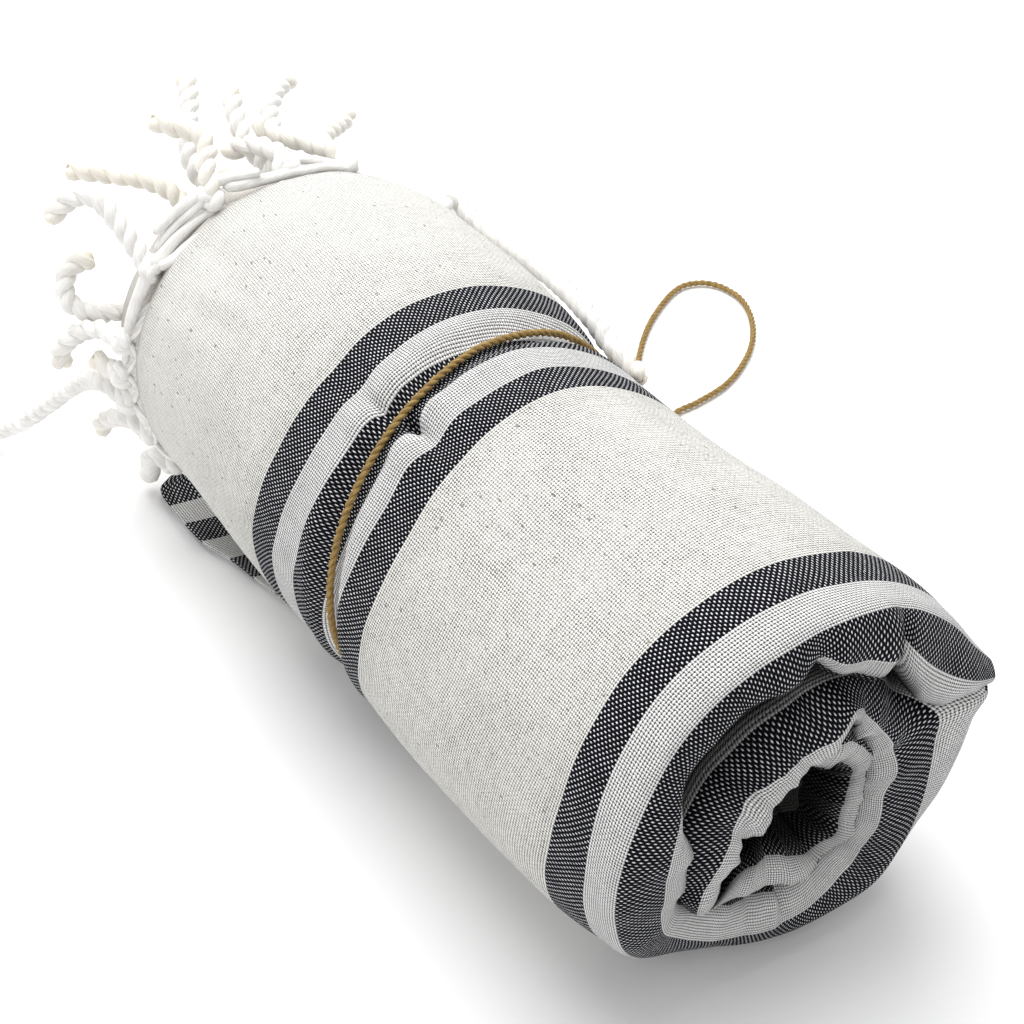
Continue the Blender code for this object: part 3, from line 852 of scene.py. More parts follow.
# ---- finishes ------------------------------------------------------------------------
@dataclass(frozen=True)
class WovenCotton:
    """Plain-woven cotton with bands of dark and white weft across an off-white ground.

    The warp is off-white and runs along the roll. Two crossings, one with the warp on top
    and one with the weft on top, make one repeat either way.
    """

    warp_pitch: float = 0.77 * MM
    weft_pitch: float = 0.77 * MM
    ground: tuple = (0.865, 0.857, 0.815, 1.0)
    warp_in_bands: tuple = (0.83, 0.83, 0.835, 1.0)
    warp_in_dark: tuple = (0.83, 0.84, 0.87, 1.0)
    white_weft: tuple = (0.84, 0.84, 0.83, 1.0)
    dark_weft: tuple = (0.004, 0.0042, 0.008, 1.0)
    # painted shade seen through the gaps between the threads, in the ground and in the dark bands
    hole_shade: tuple = (0.055, 0.050, 0.042, 1.0)
    dark_hole_shade: tuple = (0.0015, 0.0015, 0.0025, 1.0)
    fleck: tuple = (0.10, 0.075, 0.055, 1.0)
    # painted shade on the soft inner plies at the fringed edge
    inner_ply_shade: tuple = (0.60, 0.565, 0.52, 1.0)
    first_band: float = 74.5 * MM
    band_width: float = 10.6 * MM
    bands: int = 5
    group_pitch: float = 128.1 * MM

    # noise: its scale, and how far it moves the warp and the weft
    warp_drift: tuple = (90.0, 0.9 * MM)
    weft_drift: tuple = (60.0, 0.5 * MM)
    # unevenness along each thread, and how far apart two threads lie in that noise
    thread_noise: float = 140.0
    thread_apart: float = 0.37
    patch_noise: float = 55.0
    fuzz_noise: float = 2600.0
    # where the weave is drawn taut, in bands from the first of a group
    taut_before: tuple = (11.3, 12.0)
    taut_after: tuple = (5.0, 5.9)
    # half the width of each thread, in pitches
    warp_half: float = 0.315
    weft_half: float = 0.375
    # how sharply a thread's edge shows
    thread_edge: tuple = (0.0, 0.2)
    # the cloth fades to its soft inner plies at the fringed edge, which are painted in shade
    soft_edge: tuple = (-1.5 * MM, 2.0 * MM)
    fleck_noise: tuple = (900.0, 420.0)
    fleck_share: tuple = (0.765, 0.82)
    # how dark the painted shade in the crevices gets
    crevice_shade: float = 0.94
    relief_depth: float = 0.3 * MM
    rough: float = 0.95
    specular: float = 0.08

    def make(self) -> bpy.types.Material:
        """Builds the material on the piece's own cloth coordinates.

        Returns:
            The material.
        """
        tree = Tree("woven_cotton_stripes")
        round_roll, along = tree.cloth_place()

        drift = tree.noise(tree.vector(round_roll, along), self.warp_drift[0], 1.0)
        wander = tree.noise(tree.vector(round_roll, along, 3.0), self.weft_drift[0], 1.0)
        warps = (round_roll + (drift - 0.5) * self.warp_drift[1]) / self.warp_pitch
        wefts = (along + (wander - 0.5) * self.weft_drift[1]) / self.weft_pitch
        warp_index, weft_index = warps.floor(), wefts.floor()
        across_warp = warps.fraction() - 0.5
        across_weft = wefts.fraction() - 0.5
        warp_up = ((warp_index + weft_index) * 0.5).fraction().over(0.25)

        # the stripes: each weft thread is all dark, all white or all of the ground's colour
        from_edge = ((weft_index + 0.5) * self.weft_pitch).most(0.0)
        group = (from_edge - self.first_band) / self.group_pitch
        inside = group.fraction() * (self.group_pitch / self.band_width)
        banded = inside.under(float(self.bands))
        dark = banded * (inside * 0.5).fraction().under(0.5)
        white = banded - dark

        # how evenly the threads lie
        uneven_warp = tree.random(warp_index, 0.0)
        uneven_weft = tree.random(7.0, weft_index)
        warp_noise = tree.vector(warp_index * self.thread_apart, along * self.thread_noise)
        weft_noise = tree.vector(round_roll * self.thread_noise, weft_index * self.thread_apart, 5.0)
        along_warp = tree.noise(warp_noise, 1.0, 2.0)
        along_weft = tree.noise(weft_noise, 1.0, 2.0)
        taut = inside.step(*self.taut_before).most(1.0 - inside.step(*self.taut_after))
        patch = tree.noise(tree.vector(round_roll, along, 9.0), self.patch_noise, 3.0)
        loose = (patch - 0.5) * 1.5 + taut * 0.35

        # each thread's rounded float over the one that it crosses
        warp_half = self.warp_half - loose * 0.03 - dark * 0.075 + (along_warp - 0.5) * 0.26
        weft_half = self.weft_half - loose * 0.06 + (along_weft - 0.5) * 0.28
        warp_float = warp_up * (
            1.0
            - (across_warp / warp_half).op("POWER", 2.0)
            - (across_weft * (1.7 + dark * 0.35)).op("POWER", 2.0)
        ).most(0.0)
        weft_float = (1.0 - warp_up) * (
            1.0
            - (across_weft / weft_half).op("POWER", 2.0)
            - (across_warp * 1.5).op("POWER", 2.0)
        ).most(0.0)
        warp_seen = warp_float.step(*self.thread_edge)
        weft_seen = weft_float.step(*self.thread_edge)
        weft_below = warp_up * (1.0 - across_weft.absolute().step(0.27, 0.42))
        warp_below = (1.0 - warp_up) * (1.0 - across_warp.absolute().step(0.2, 0.34))

        # the threads' colours
        weft_colour = tree.mix(white, tree.mix(dark, self.ground, self.dark_weft), self.white_weft)
        bright = tree.mix(banded, self.ground, self.warp_in_bands)
        warp_colour = tree.mix(dark, bright, self.warp_in_dark)
        warp_share = warp_seen.most(warp_below * (1.0 - weft_seen) * (1.0 - dark * 0.8))
        thread = tree.mix(warp_share, weft_colour, warp_colour)

        # the holes between the threads, which close in the white bands and near the fringe; their dark
        # colours are painted shade seen through the gaps
        on_top = warp_seen.most(weft_seen)
        below = weft_below.most(warp_below)
        corner = tree.random((warps + 0.5).floor(), (wefts + 0.5).floor())
        soft = 1.0 - along.step(*self.soft_edge)
        even = (1.0 - along.step(0.0, self.first_band)) * 0.42
        depth = 0.60 + loose * 0.35 + corner * 0.36 + dark * 0.3 + white * 0.5
        depth = depth * (1.0 - even) * (1.0 - soft)
        open_share = (1.0 - on_top) * (1.0 - below * 0.40) * depth.least(1.0).most(0.0)
        woven = tree.mix(open_share, thread, tree.mix(dark, self.hole_shade, self.dark_hole_shade))

        # flecks of husk, the inner plies at the fringed edge in painted shade, and painted shade at the
        # threads' edges and in the crevices
        fleck_place = tree.vector(round_roll * self.fleck_noise[0], along * self.fleck_noise[1], 2.0)
        flecks = tree.noise(fleck_place, 1.0, 0.0).step(*self.fleck_share)
        flecked = tree.mix(flecks * (1.0 - banded) * 0.6, woven, self.fleck)
        flecked = tree.mix(soft * (0.35 + patch * 0.7), flecked, self.inner_ply_shade)
        relief = warp_float.most(weft_float).step(0.0, 0.7)
        grey = 0.95 + patch * 0.07
        uneven = 0.96 + (uneven_warp + uneven_weft) * 0.04
        deep = tree.attribute("painted_crevice_shade")
        # painted shade: each thread darker at its edges than on its crown, and the crevices between the turns
        # darker
        shade = grey * uneven * (0.82 + relief.most(soft * 0.55) * 0.18) * (1.0 - deep * self.crevice_shade)
        shaded = tree.node("ShaderNodeVectorMath", {"operation": "SCALE"}, {0: flecked, "Scale": shade})

        fuzz = tree.noise(tree.vector(round_roll, along, 1.0), self.fuzz_noise, 2.0)
        height = warp_float * 0.9 + weft_float * 0.8 + fuzz * 0.16
        return tree.finished(shaded.outputs[0], self.rough, self.specular, height, self.relief_depth)


@dataclass(frozen=True)
class CottonYarn:
    """Soft white yarn, with fine fibres along each ply and painted shade between them."""

    colour: tuple = (0.90, 0.89, 0.87, 1.0)
    shade: tuple = (0.74, 0.72, 0.69, 1.0)
    tip: tuple = (0.86, 0.78, 0.62, 1.0)
    # painted shade where a ply faces the other ones
    groove_shade: tuple = (0.34, 0.29, 0.22, 1.0)
    groove_shade_edge: tuple = (0.05, 0.8)
    # the fibres' noise round and along a ply, and how far they lean
    fibre_noise: tuple = (3000.0, 260.0)
    fibre_lean: float = 900.0
    blotch_noise: float = 160.0
    relief_depth: float = 0.35 * MM
    rough: float = 0.95
    specular: float = 0.2
    sheen: float = 0.2

    def make(self) -> bpy.types.Material:
        """Builds the material; its UV runs round and along each ply.

        Returns:
            The material.
        """
        tree = Tree("twisted_cotton_yarn")
        fibres = tree.fibres(*self.fibre_noise, self.fibre_lean)
        blotch = tree.noise(tree.object_place(), self.blotch_noise, 2.0)
        body = tree.mix((fibres * 0.55 + blotch * 0.45).step(0.36, 0.62), self.shade, self.colour)
        lit = tree.mix(tree.attribute("tip") * 0.7, body, self.tip)
        # painted shade in the grooves between the plies
        colour = tree.mix(tree.attribute("groove_shade").step(*self.groove_shade_edge) * 0.85, lit, self.groove_shade)
        tree.shader.inputs["Sheen Weight"].default_value = self.sheen
        relief = fibres + blotch * 0.3
        return tree.finished(colour, self.rough, self.specular, relief, self.relief_depth)


@dataclass(frozen=True)
class JuteTwine:
    """Tan two-ply twine with coarse fibres."""

    light: tuple = (0.41, 0.275, 0.095, 1.0)
    deep: tuple = (0.18, 0.108, 0.034, 1.0)
    fibre_noise: tuple = (5200.0, 420.0)
    fibre_lean: float = 700.0
    relief_depth: float = 0.2 * MM
    rough: float = 0.8
    specular: float = 0.3

    def make(self) -> bpy.types.Material:
        """Builds the material; its UV runs round and along each ply.

        Returns:
            The material.
        """
        tree = Tree("tan_jute_twine")
        fibres = tree.fibres(*self.fibre_noise, self.fibre_lean)
        colour = tree.mix(fibres.step(0.32, 0.68), self.deep, self.light)
        return tree.finished(colour, self.rough, self.specular, fibres, self.relief_depth)


@dataclass(frozen=True)
class PaleFloor:
    """A plain pale studio floor, with a painted shadow beside the roll's near end."""

    colour: tuple = (0.93, 0.93, 0.935, 1.0)
    painted_shadow: tuple = (0.85, 0.85, 0.855, 1.0)
    # where the painted shadow is darkest, and how far from there it starts and stops fading, in metres
    middle: tuple = (0.17, -0.04, 0.0)
    reach: tuple = (0.05, 0.22)
    rough: float = 0.9
    specular: float = 0.1

    def make(self) -> bpy.types.Material:
        """Builds the floor's material.

        Returns:
            The material.
        """
        tree = Tree("pale_floor")
        # painted shadow: greyer the nearer a place lies to the roll's near end
        ends = {0: tree.object_place(), 1: self.middle}
        away = tree.node("ShaderNodeVectorMath", {"operation": "DISTANCE"}, ends)
        share = tree.number(away.outputs["Value"]).step(*self.reach)
        return tree.finished(tree.mix(share, self.painted_shadow, self.colour), self.rough, self.specular)


# ---- the winding ---------------------------------------------------------------------
@dataclass
class Winding:
    """The spiral that the strip is wound on, as in the solid roll."""

    axis_height: float = 52.1
    radius: float = 53.0
    cloth_length: float = 227.0
    near_x: float = 14.0
    core_radius: float = 9.0
    turn_gap: float = 0.8
    end_thickness: float = 3.0
    end_taper: float = 50.0
    waist_x: float = -115.5
    waist_depth: float = 4.0
    waist_half_width: float = 5.0
    # beside the waist at the front the cloth puffs out: how high, where and how wide, in
    # half widths of the waist
    puff_height: float = 1.1
    puff_place: float = 1.7
    puff_width: float = 0.75
    puff_from: tuple = (70.0, 110.0)
    puff_to: tuple = (195.0, 240.0)
    lean_front: float = -0.20
    lean_back: float = -0.12
    sag_from: float = -140.0
    sag_sideways: float = 4.0
    inner_end_taper: float = 60.0
    # how much fuller the outermost turn is, by x, at the angles between the first and the last
    full_angles: tuple = (10.0, 43.0, 90.0, 140.0, 203.0, 250.0)
    fullness: tuple = (
        (-213.0, 1.4, 0.0, 0.0, -0.9),
        (-188.0, 2.0, 0.3, -0.4, -0.9),
        (-172.0, 2.9, 0.5, -0.6, -0.9),
        (-156.0, 3.6, 0.6, -0.8, -0.9),
        (-146.0, 3.0, 0.4, -0.8, -0.9),
        (-126.0, 0.3, 0.0, -0.8, -0.9),
        (-105.0, -1.5, 0.2, -0.8, -0.6),
        (-85.0, -1.9, 0.5, -0.8, 0.9),
        (-70.0, -1.7, 0.5, -0.8, 1.6),
        (-57.0, -1.1, 0.4, -0.8, 1.6),
        (-45.0, 0.0, 0.2, -0.6, 1.5),
        (-25.0, 0.6, 0.0, -0.4, 0.8),
    )
    # angle, radius of the outer face, and how far the far end stands back
    turns: tuple = (
        (10, 53.2, 16.0), (30, 53.3, 18.0), (50, 53.2, 17.5), (60, 53.2, 14.0), (68, 53.1, 9.0),
        (76, 53.0, 5.0), (88, 53.0, 3.2), (100, 53.0, 1.6), (112, 53.0, -0.6), (150, 53.0, -0.4),
        (175, 53.0, -1.0), (190, 53.0, 0.5), (225, 53.0, 2.0), (270, 53.0, 2.0), (310, 52.0, 1.5),
        (340, 51.2, 1.5), (365, 49.2, 2.0), (390, 44.0, 3.0), (420, 40.6, 3.0), (450, 39.6, 3.0),
        (490, 39.4, 3.5), (530, 37.8, 4.0), (570, 36.6, 4.0), (630, 35.2, 4.0), (680, 33.0, 4.0),
        (720, 28.6, 4.5), (760, 23.6, 5.0), (810, 22.2, 5.5), (850, 21.6, 6.0), (900, 21.4, 6.5),
        (940, 21.0, 7.0),
    )

    @property
    def first(self) -> float:
        """The angle of the strip's outer end."""
        return float(self.turns[0][0])

    @property
    def last(self) -> float:
        """The angle of the strip's inner end."""
        return float(self.turns[-1][0])

    @property
    def far_x(self) -> float:
        """Where the cloth's fringed edge lies along the roll."""
        return self.near_x - self.cloth_length

    def outer(self, angle: np.ndarray) -> np.ndarray:
        """The radius of the strip's outer face."""
        return smooth_table(self.turns, angle)[:, 0]

    def far_back(self, angle: np.ndarray) -> np.ndarray:
        """How far the fringed edge stands back there."""
        return smooth_table(self.turns, angle)[:, 1]

    def inner(self, angle: np.ndarray) -> np.ndarray:
        """The radius of the strip's inner face: it lies on the turn below, or on the
        hollow in the middle.

        Args:
            angle: places round the spiral.

        Returns:
            The radii there.
        """
        under = self.outer(np.minimum(angle + 360.0, self.last))
        left = smooth_step(angle + 360.0, self.last, self.last + self.inner_end_taper)
        under = (1 - left) * under + left * self.core_radius
        laid = under + self.turn_gap
        grown = smooth_step(angle, self.first, self.first + self.end_taper)
        edge = self.outer(angle) - self.end_thickness
        return np.maximum(laid, edge * (1 - grown) + laid * grown)

    def axis_y(self, x: np.ndarray) -> np.ndarray:
        """The centre line's bend towards the back at the far end."""
        return self.sag_sideways * smooth_step(-x, -self.sag_from, -self.far_x)

    def waist_middle(self, angle: np.ndarray) -> np.ndarray:
        """Where the twine crosses each angle of the roll."""
        y = self.radius * np.cos(np.radians(angle))
        return self.waist_x + np.where(y > 0, self.lean_back, self.lean_front) * y

    def waist(self, x: np.ndarray, angle: np.ndarray) -> np.ndarray:
        """How far the twine draws a turn's outer face in.

        Args:
            x: millimetres along the roll.
            angle: degrees round it.

        Returns:
            What to take from the radius there.
        """
        pressed = 1.0 - smooth_step(angle - 360.0, self.first, self.first + self.end_taper)
        share = np.where(angle > 360.0, pressed, 1.0)
        away = (x - self.waist_middle(angle)) / self.waist_half_width
        puff = self.puff_height * np.exp(-(((np.abs(away) - self.puff_place) / self.puff_width) ** 2))
        front = plateau(angle, self.puff_from, self.puff_to)
        return share * (self.waist_depth / (1.0 + away**4) - front * puff)

    def swell(self, x: np.ndarray, angle: np.ndarray) -> np.ndarray:
        """How much fuller the outermost turn is at places on it.

        Args:
            x: millimetres along the roll.
            angle: degrees round it.

        Returns:
            What to add to the radius there.
        """
        x, angle = np.broadcast_arrays(np.asarray(x, float), np.asarray(angle, float))
        read = smooth_table(self.fullness, x.ravel()).reshape(*x.shape, -1)
        total = np.zeros(x.shape)
        for k in range(read.shape[-1]):
            low, middle, high = self.full_angles[k : k + 3]
            total = total + read[..., k] * plateau(angle, (low, middle), (middle, high))
        return total

    def place(self, x: np.ndarray, radius: np.ndarray, angle: np.ndarray) -> np.ndarray:
        """Turns places on the winding into metres in the part's frame.

        Args:
            x: millimetres along the roll.
            radius: millimetres from its centre line.
            angle: degrees round it.

        Returns:
            The points, with a last axis of three.
        """
        turned = np.radians(angle)
        y = self.axis_y(x) + radius * np.cos(turned)
        z = np.maximum(self.axis_height + radius * np.sin(turned), 0.0)
        return (np.stack([x + 0 * y, y, z], axis=-1) + ROLL_ORIGIN) * MM


# ---- the wound cloth -----------------------------------------------------------------
# The near end. Each row is one place along the strip: its angle round the winding,
# and then where four lines of the cloth lie there, each as x, angle and radius about the
# roll's centre line. The lines are the edges of the last white band (outer edge, then the
# edge it shares with the dark band on the rim), the edge between that dark band and the
# white one inside the rim, and that white band's far edge.
RIM_LINES = (
    (10, (0.2, 10, 57.5), (9.0, 14, 58.0), (13.5, 14, 55.0), (8.0, 7, 53.5)),
    (22, (0.2, 22, 56.0), (9.5, 24, 54.0), (14.0, 19, 49.5), (8.0, 9, 45.5)),
    (35, (0.2, 35, 54.5), (9.5, 37, 52.3), (14.0, 33, 43.5), (8.0, 13, 40.0)),
    (47, (0.2, 47, 53.5), (9.5, 49, 51.8), (14.0, 46, 42.5), (8.0, 23, 36.5)),
    (56, (0.2, 56, 53.0), (9.5, 58, 52.0), (13.5, 58, 44.8), (6.0, 40, 36.5)),
    (61, (0.2, 61, 52.8), (8.8, 62, 51.6), (10.5, 61, 46.0), (2.0, 58, 41.0)),
    (65, (0.2, 65, 52.8), (9.8, 66, 52.6), (14.0, 62, 43.0), (11.5, 62, 38.8)),
    (76, (0.2, 76, 53.0), (10.3, 76, 52.6), (14.0, 76, 42.8), (12.0, 76, 38.4)),
    (85, (0.0, 85, 53.6), (10.2, 85, 52.4), (13.5, 85, 43.8), (10.5, 85, 40.0)),
    (91, (0.0, 91, 54.0), (10.0, 91, 52.2), (11.5, 91, 46.6), (4.0, 91, 43.5)),
    (98, (-0.4, 98, 54.1), (10.3, 98, 52.6), (12.0, 98, 43.4), (2.0, 98, 43.0)),
    (108, (-0.8, 108, 54.2), (9.8, 108, 52.8), (9.5, 108, 42.0), (0.0, 108, 43.5)),
    (120, (-1.5, 120, 54.0), (9.2, 120, 52.6), (8.5, 120, 42.0), (-1.0, 120, 44.0)),
    (132, (-1.5, 132, 53.4), (8.8, 132, 51.6), (8.5, 132, 42.2), (-1.0, 132, 43.5)),
    (144, (-0.5, 144, 53.0), (9.6, 144, 51.2), (10.0, 144, 41.8), (1.0, 145, 41.0)),
    (155, (0.3, 155, 52.6), (10.6, 155, 51.6), (14.0, 154, 42.2), (7.0, 158, 34.5)),
    (165, (0.8, 165, 52.0), (11.2, 165, 51.8), (15.0, 165, 41.5), (11.5, 168, 31.5)),
    (176, (0.8, 176, 51.4), (11.0, 176, 51.2), (14.5, 175, 40.5), (11.5, 178, 32.4)),
    (188, (0.0, 188, 51.2), (9.6, 188, 49.8), (13.0, 187, 40.2), (10.5, 191, 34.2)),
    (200, (-0.4, 200, 51.2), (8.6, 200, 49.2), (11.5, 200, 40.0), (8.0, 202, 33.5)),
    (214, (-1.0, 214, 50.0), (6.4, 214, 47.4), (9.5, 212, 38.8), (7.0, 214, 30.5)),
    (230, (-3.2, 230, 48.8), (4.4, 230, 44.6), (8.8, 230, 37.4), (7.0, 228, 28.5)),
    (246, (-4.5, 246, 48.4), (3.2, 246, 44.8), (9.0, 246, 37.0), (7.0, 246, 27.5)),
    (261, (-3.5, 261, 50.2), (4.0, 261, 47.0), (9.5, 261, 38.0), (6.5, 259, 27.5)),
    (275, (-1.5, 275, 51.8), (5.4, 275, 49.4), (10.0, 274, 37.6), (6.5, 274, 28.0)),
    (290, (0.5, 290, 52.6), (8.0, 291, 50.2), (10.5, 288, 36.0), (6.5, 288, 27.5)),
    (305, (4.0, 305, 52.6), (10.5, 305, 49.8), (10.5, 301, 34.0), (6.5, 300, 27.0)),
    (319, (7.0, 319, 52.6), (11.5, 319, 46.6), (10.5, 312, 33.6), (6.5, 311, 27.5)),
    (332, (9.0, 332, 52.6), (11.8, 332, 43.2), (10.0, 324, 32.6), (6.0, 322, 26.5)),
    (345, (9.5, 346, 52.6), (11.2, 346, 41.2), (9.5, 338, 30.0), (5.5, 335, 24.0)),
    (356, (9.5, 357, 53.6), (11.0, 358, 40.0), (9.5, 350, 30.6), (6.0, 347, 24.0)),
    (365, (9.5, 366, 55.8), (10.0, 369, 41.0), (9.0, 361, 28.6), (6.5, 358, 22.5)),
    (371, (4.0, 372, 48.0), (6.0, 374, 38.5), (9.5, 368, 27.2), (6.5, 364, 22.0)),
    (378, (-4.0, 379, 41.5), (3.2, 380, 35.2), (10.0, 377, 26.2), (6.5, 371, 21.3)),
    (392, (-5.0, 392, 39.5), (3.0, 392, 33.7), (10.0, 392, 24.9), (6.0, 383, 20.5)),
    (407, (-5.0, 407, 38.0), (3.0, 405, 32.2), (10.0, 407, 25.4), (6.0, 394, 20.5)),
    (419, (-5.0, 419, 37.0), (3.2, 418, 30.8), (10.8, 418, 27.2), (6.5, 401, 22.0)),
    (425, (-5.0, 427, 36.6), (3.6, 428, 30.2), (11.5, 424, 26.6), (7.5, 408, 22.5)),
    (431, (-5.0, 434, 36.4), (4.0, 438, 29.6), (10.8, 421, 21.8), (6.0, 398, 17.5)),
    (447, (-12.0, 449, 31.0), (3.6, 452, 26.8), (11.0, 445, 17.6), (7.0, 402, 11.0)),
    (466, (-14.0, 466, 29.6), (3.0, 470, 25.6), (11.0, 465, 16.6), (7.0, 428, 7.0)),
    (488, (-14.0, 488, 29.6), (3.0, 489, 25.8), (11.0, 488, 18.4), (7.0, 505, 3.5)),
    (501, (-12.0, 501, 31.0), (3.2, 502, 27.4), (11.5, 500, 22.6), (7.0, 570, 7.0)),
    (514, (-6.0, 514, 34.4), (4.6, 515, 30.0), (11.0, 514, 20.8), (7.0, 562, 12.0)),
    (538, (-5.0, 538, 35.4), (5.0, 538, 31.0), (11.0, 538, 20.8), (7.0, 569, 15.5)),
    (555, (-5.0, 555, 35.4), (5.0, 553, 32.2), (11.0, 555, 25.6), (7.0, 578, 20.0)),
    (567, (-5.5, 566, 35.4), (4.0, 565, 33.6), (10.8, 566, 30.6), (7.0, 584, 25.5)),
    (576, (-6.5, 577, 35.2), (1.0, 577, 33.6), (9.5, 575, 31.8), (6.5, 589, 27.5)),
    (586, (-8.0, 588, 34.6), (0.0, 588, 31.0), (9.0, 583, 28.6), (6.5, 590, 22.5)),
    (598, (-9.0, 600, 33.8), (0.0, 600, 28.5), (9.0, 592, 25.2), (6.5, 596, 19.0)),
    (614, (-9.0, 615, 33.0), (0.0, 614, 27.0), (8.8, 610, 23.8), (6.5, 610, 16.8)),
    (630, (-9.0, 630, 33.0), (0.0, 629, 27.4), (8.8, 627, 24.6), (6.5, 626, 17.0)),
    (641, (-9.0, 641, 33.0), (0.5, 641, 29.0), (9.5, 641, 27.8), (7.0, 640, 20.2)),
    (650, (-9.0, 650, 32.6), (0.5, 650, 28.4), (9.5, 648, 26.0), (7.0, 648, 22.6)),
    (662, (-9.0, 662, 32.0), (1.0, 662, 28.0), (9.0, 662, 25.8), (7.0, 659, 23.4)),
    (673, (-9.0, 673, 31.4), (1.5, 673, 29.0), (9.5, 673, 28.2), (7.5, 669, 24.8)),
    (685, (-8.0, 685, 30.6), (1.0, 685, 26.6), (9.0, 685, 24.4), (7.0, 680, 21.4)),
    (703, (-8.0, 703, 28.0), (1.5, 703, 24.4), (9.0, 703, 21.6), (7.0, 697, 19.2)),
    (722, (-8.0, 722, 26.0), (1.5, 722, 23.8), (9.0, 722, 21.8), (7.0, 715, 18.6)),
    (737, (-7.0, 737, 24.6), (2.0, 737, 22.8), (9.0, 737, 20.6), (7.0, 725, 16.6)),
    (754, (-7.0, 754, 23.4), (2.0, 756, 21.4), (9.0, 758, 18.6), (7.0, 738, 13.0)),
    (770, (-7.0, 770, 22.4), (1.5, 770, 19.6), (8.5, 769, 15.6), (6.0, 745, 10.0)),
    (790, (-8.0, 790, 21.6), (0.0, 788, 17.0), (7.0, 786, 11.6), (3.0, 765, 8.0)),
    (815, (-10.0, 815, 21.0), (-3.0, 815, 17.0), (2.0, 812, 12.0), (-3.0, 805, 9.0)),
    (850, (-12.0, 850, 20.6), (-8.0, 850, 18.0), (-5.0, 850, 15.0), (-9.0, 850, 11.5)),
    (900, (-14.0, 900, 20.6), (-10.0, 900, 18.4), (-7.0, 900, 15.6), (-11.0, 900, 12.0)),
    (940, (-16.0, 940, 20.6), (-12.0, 940, 18.4), (-9.0, 940, 16.0), (-13.0, 940, 12.8)),
)


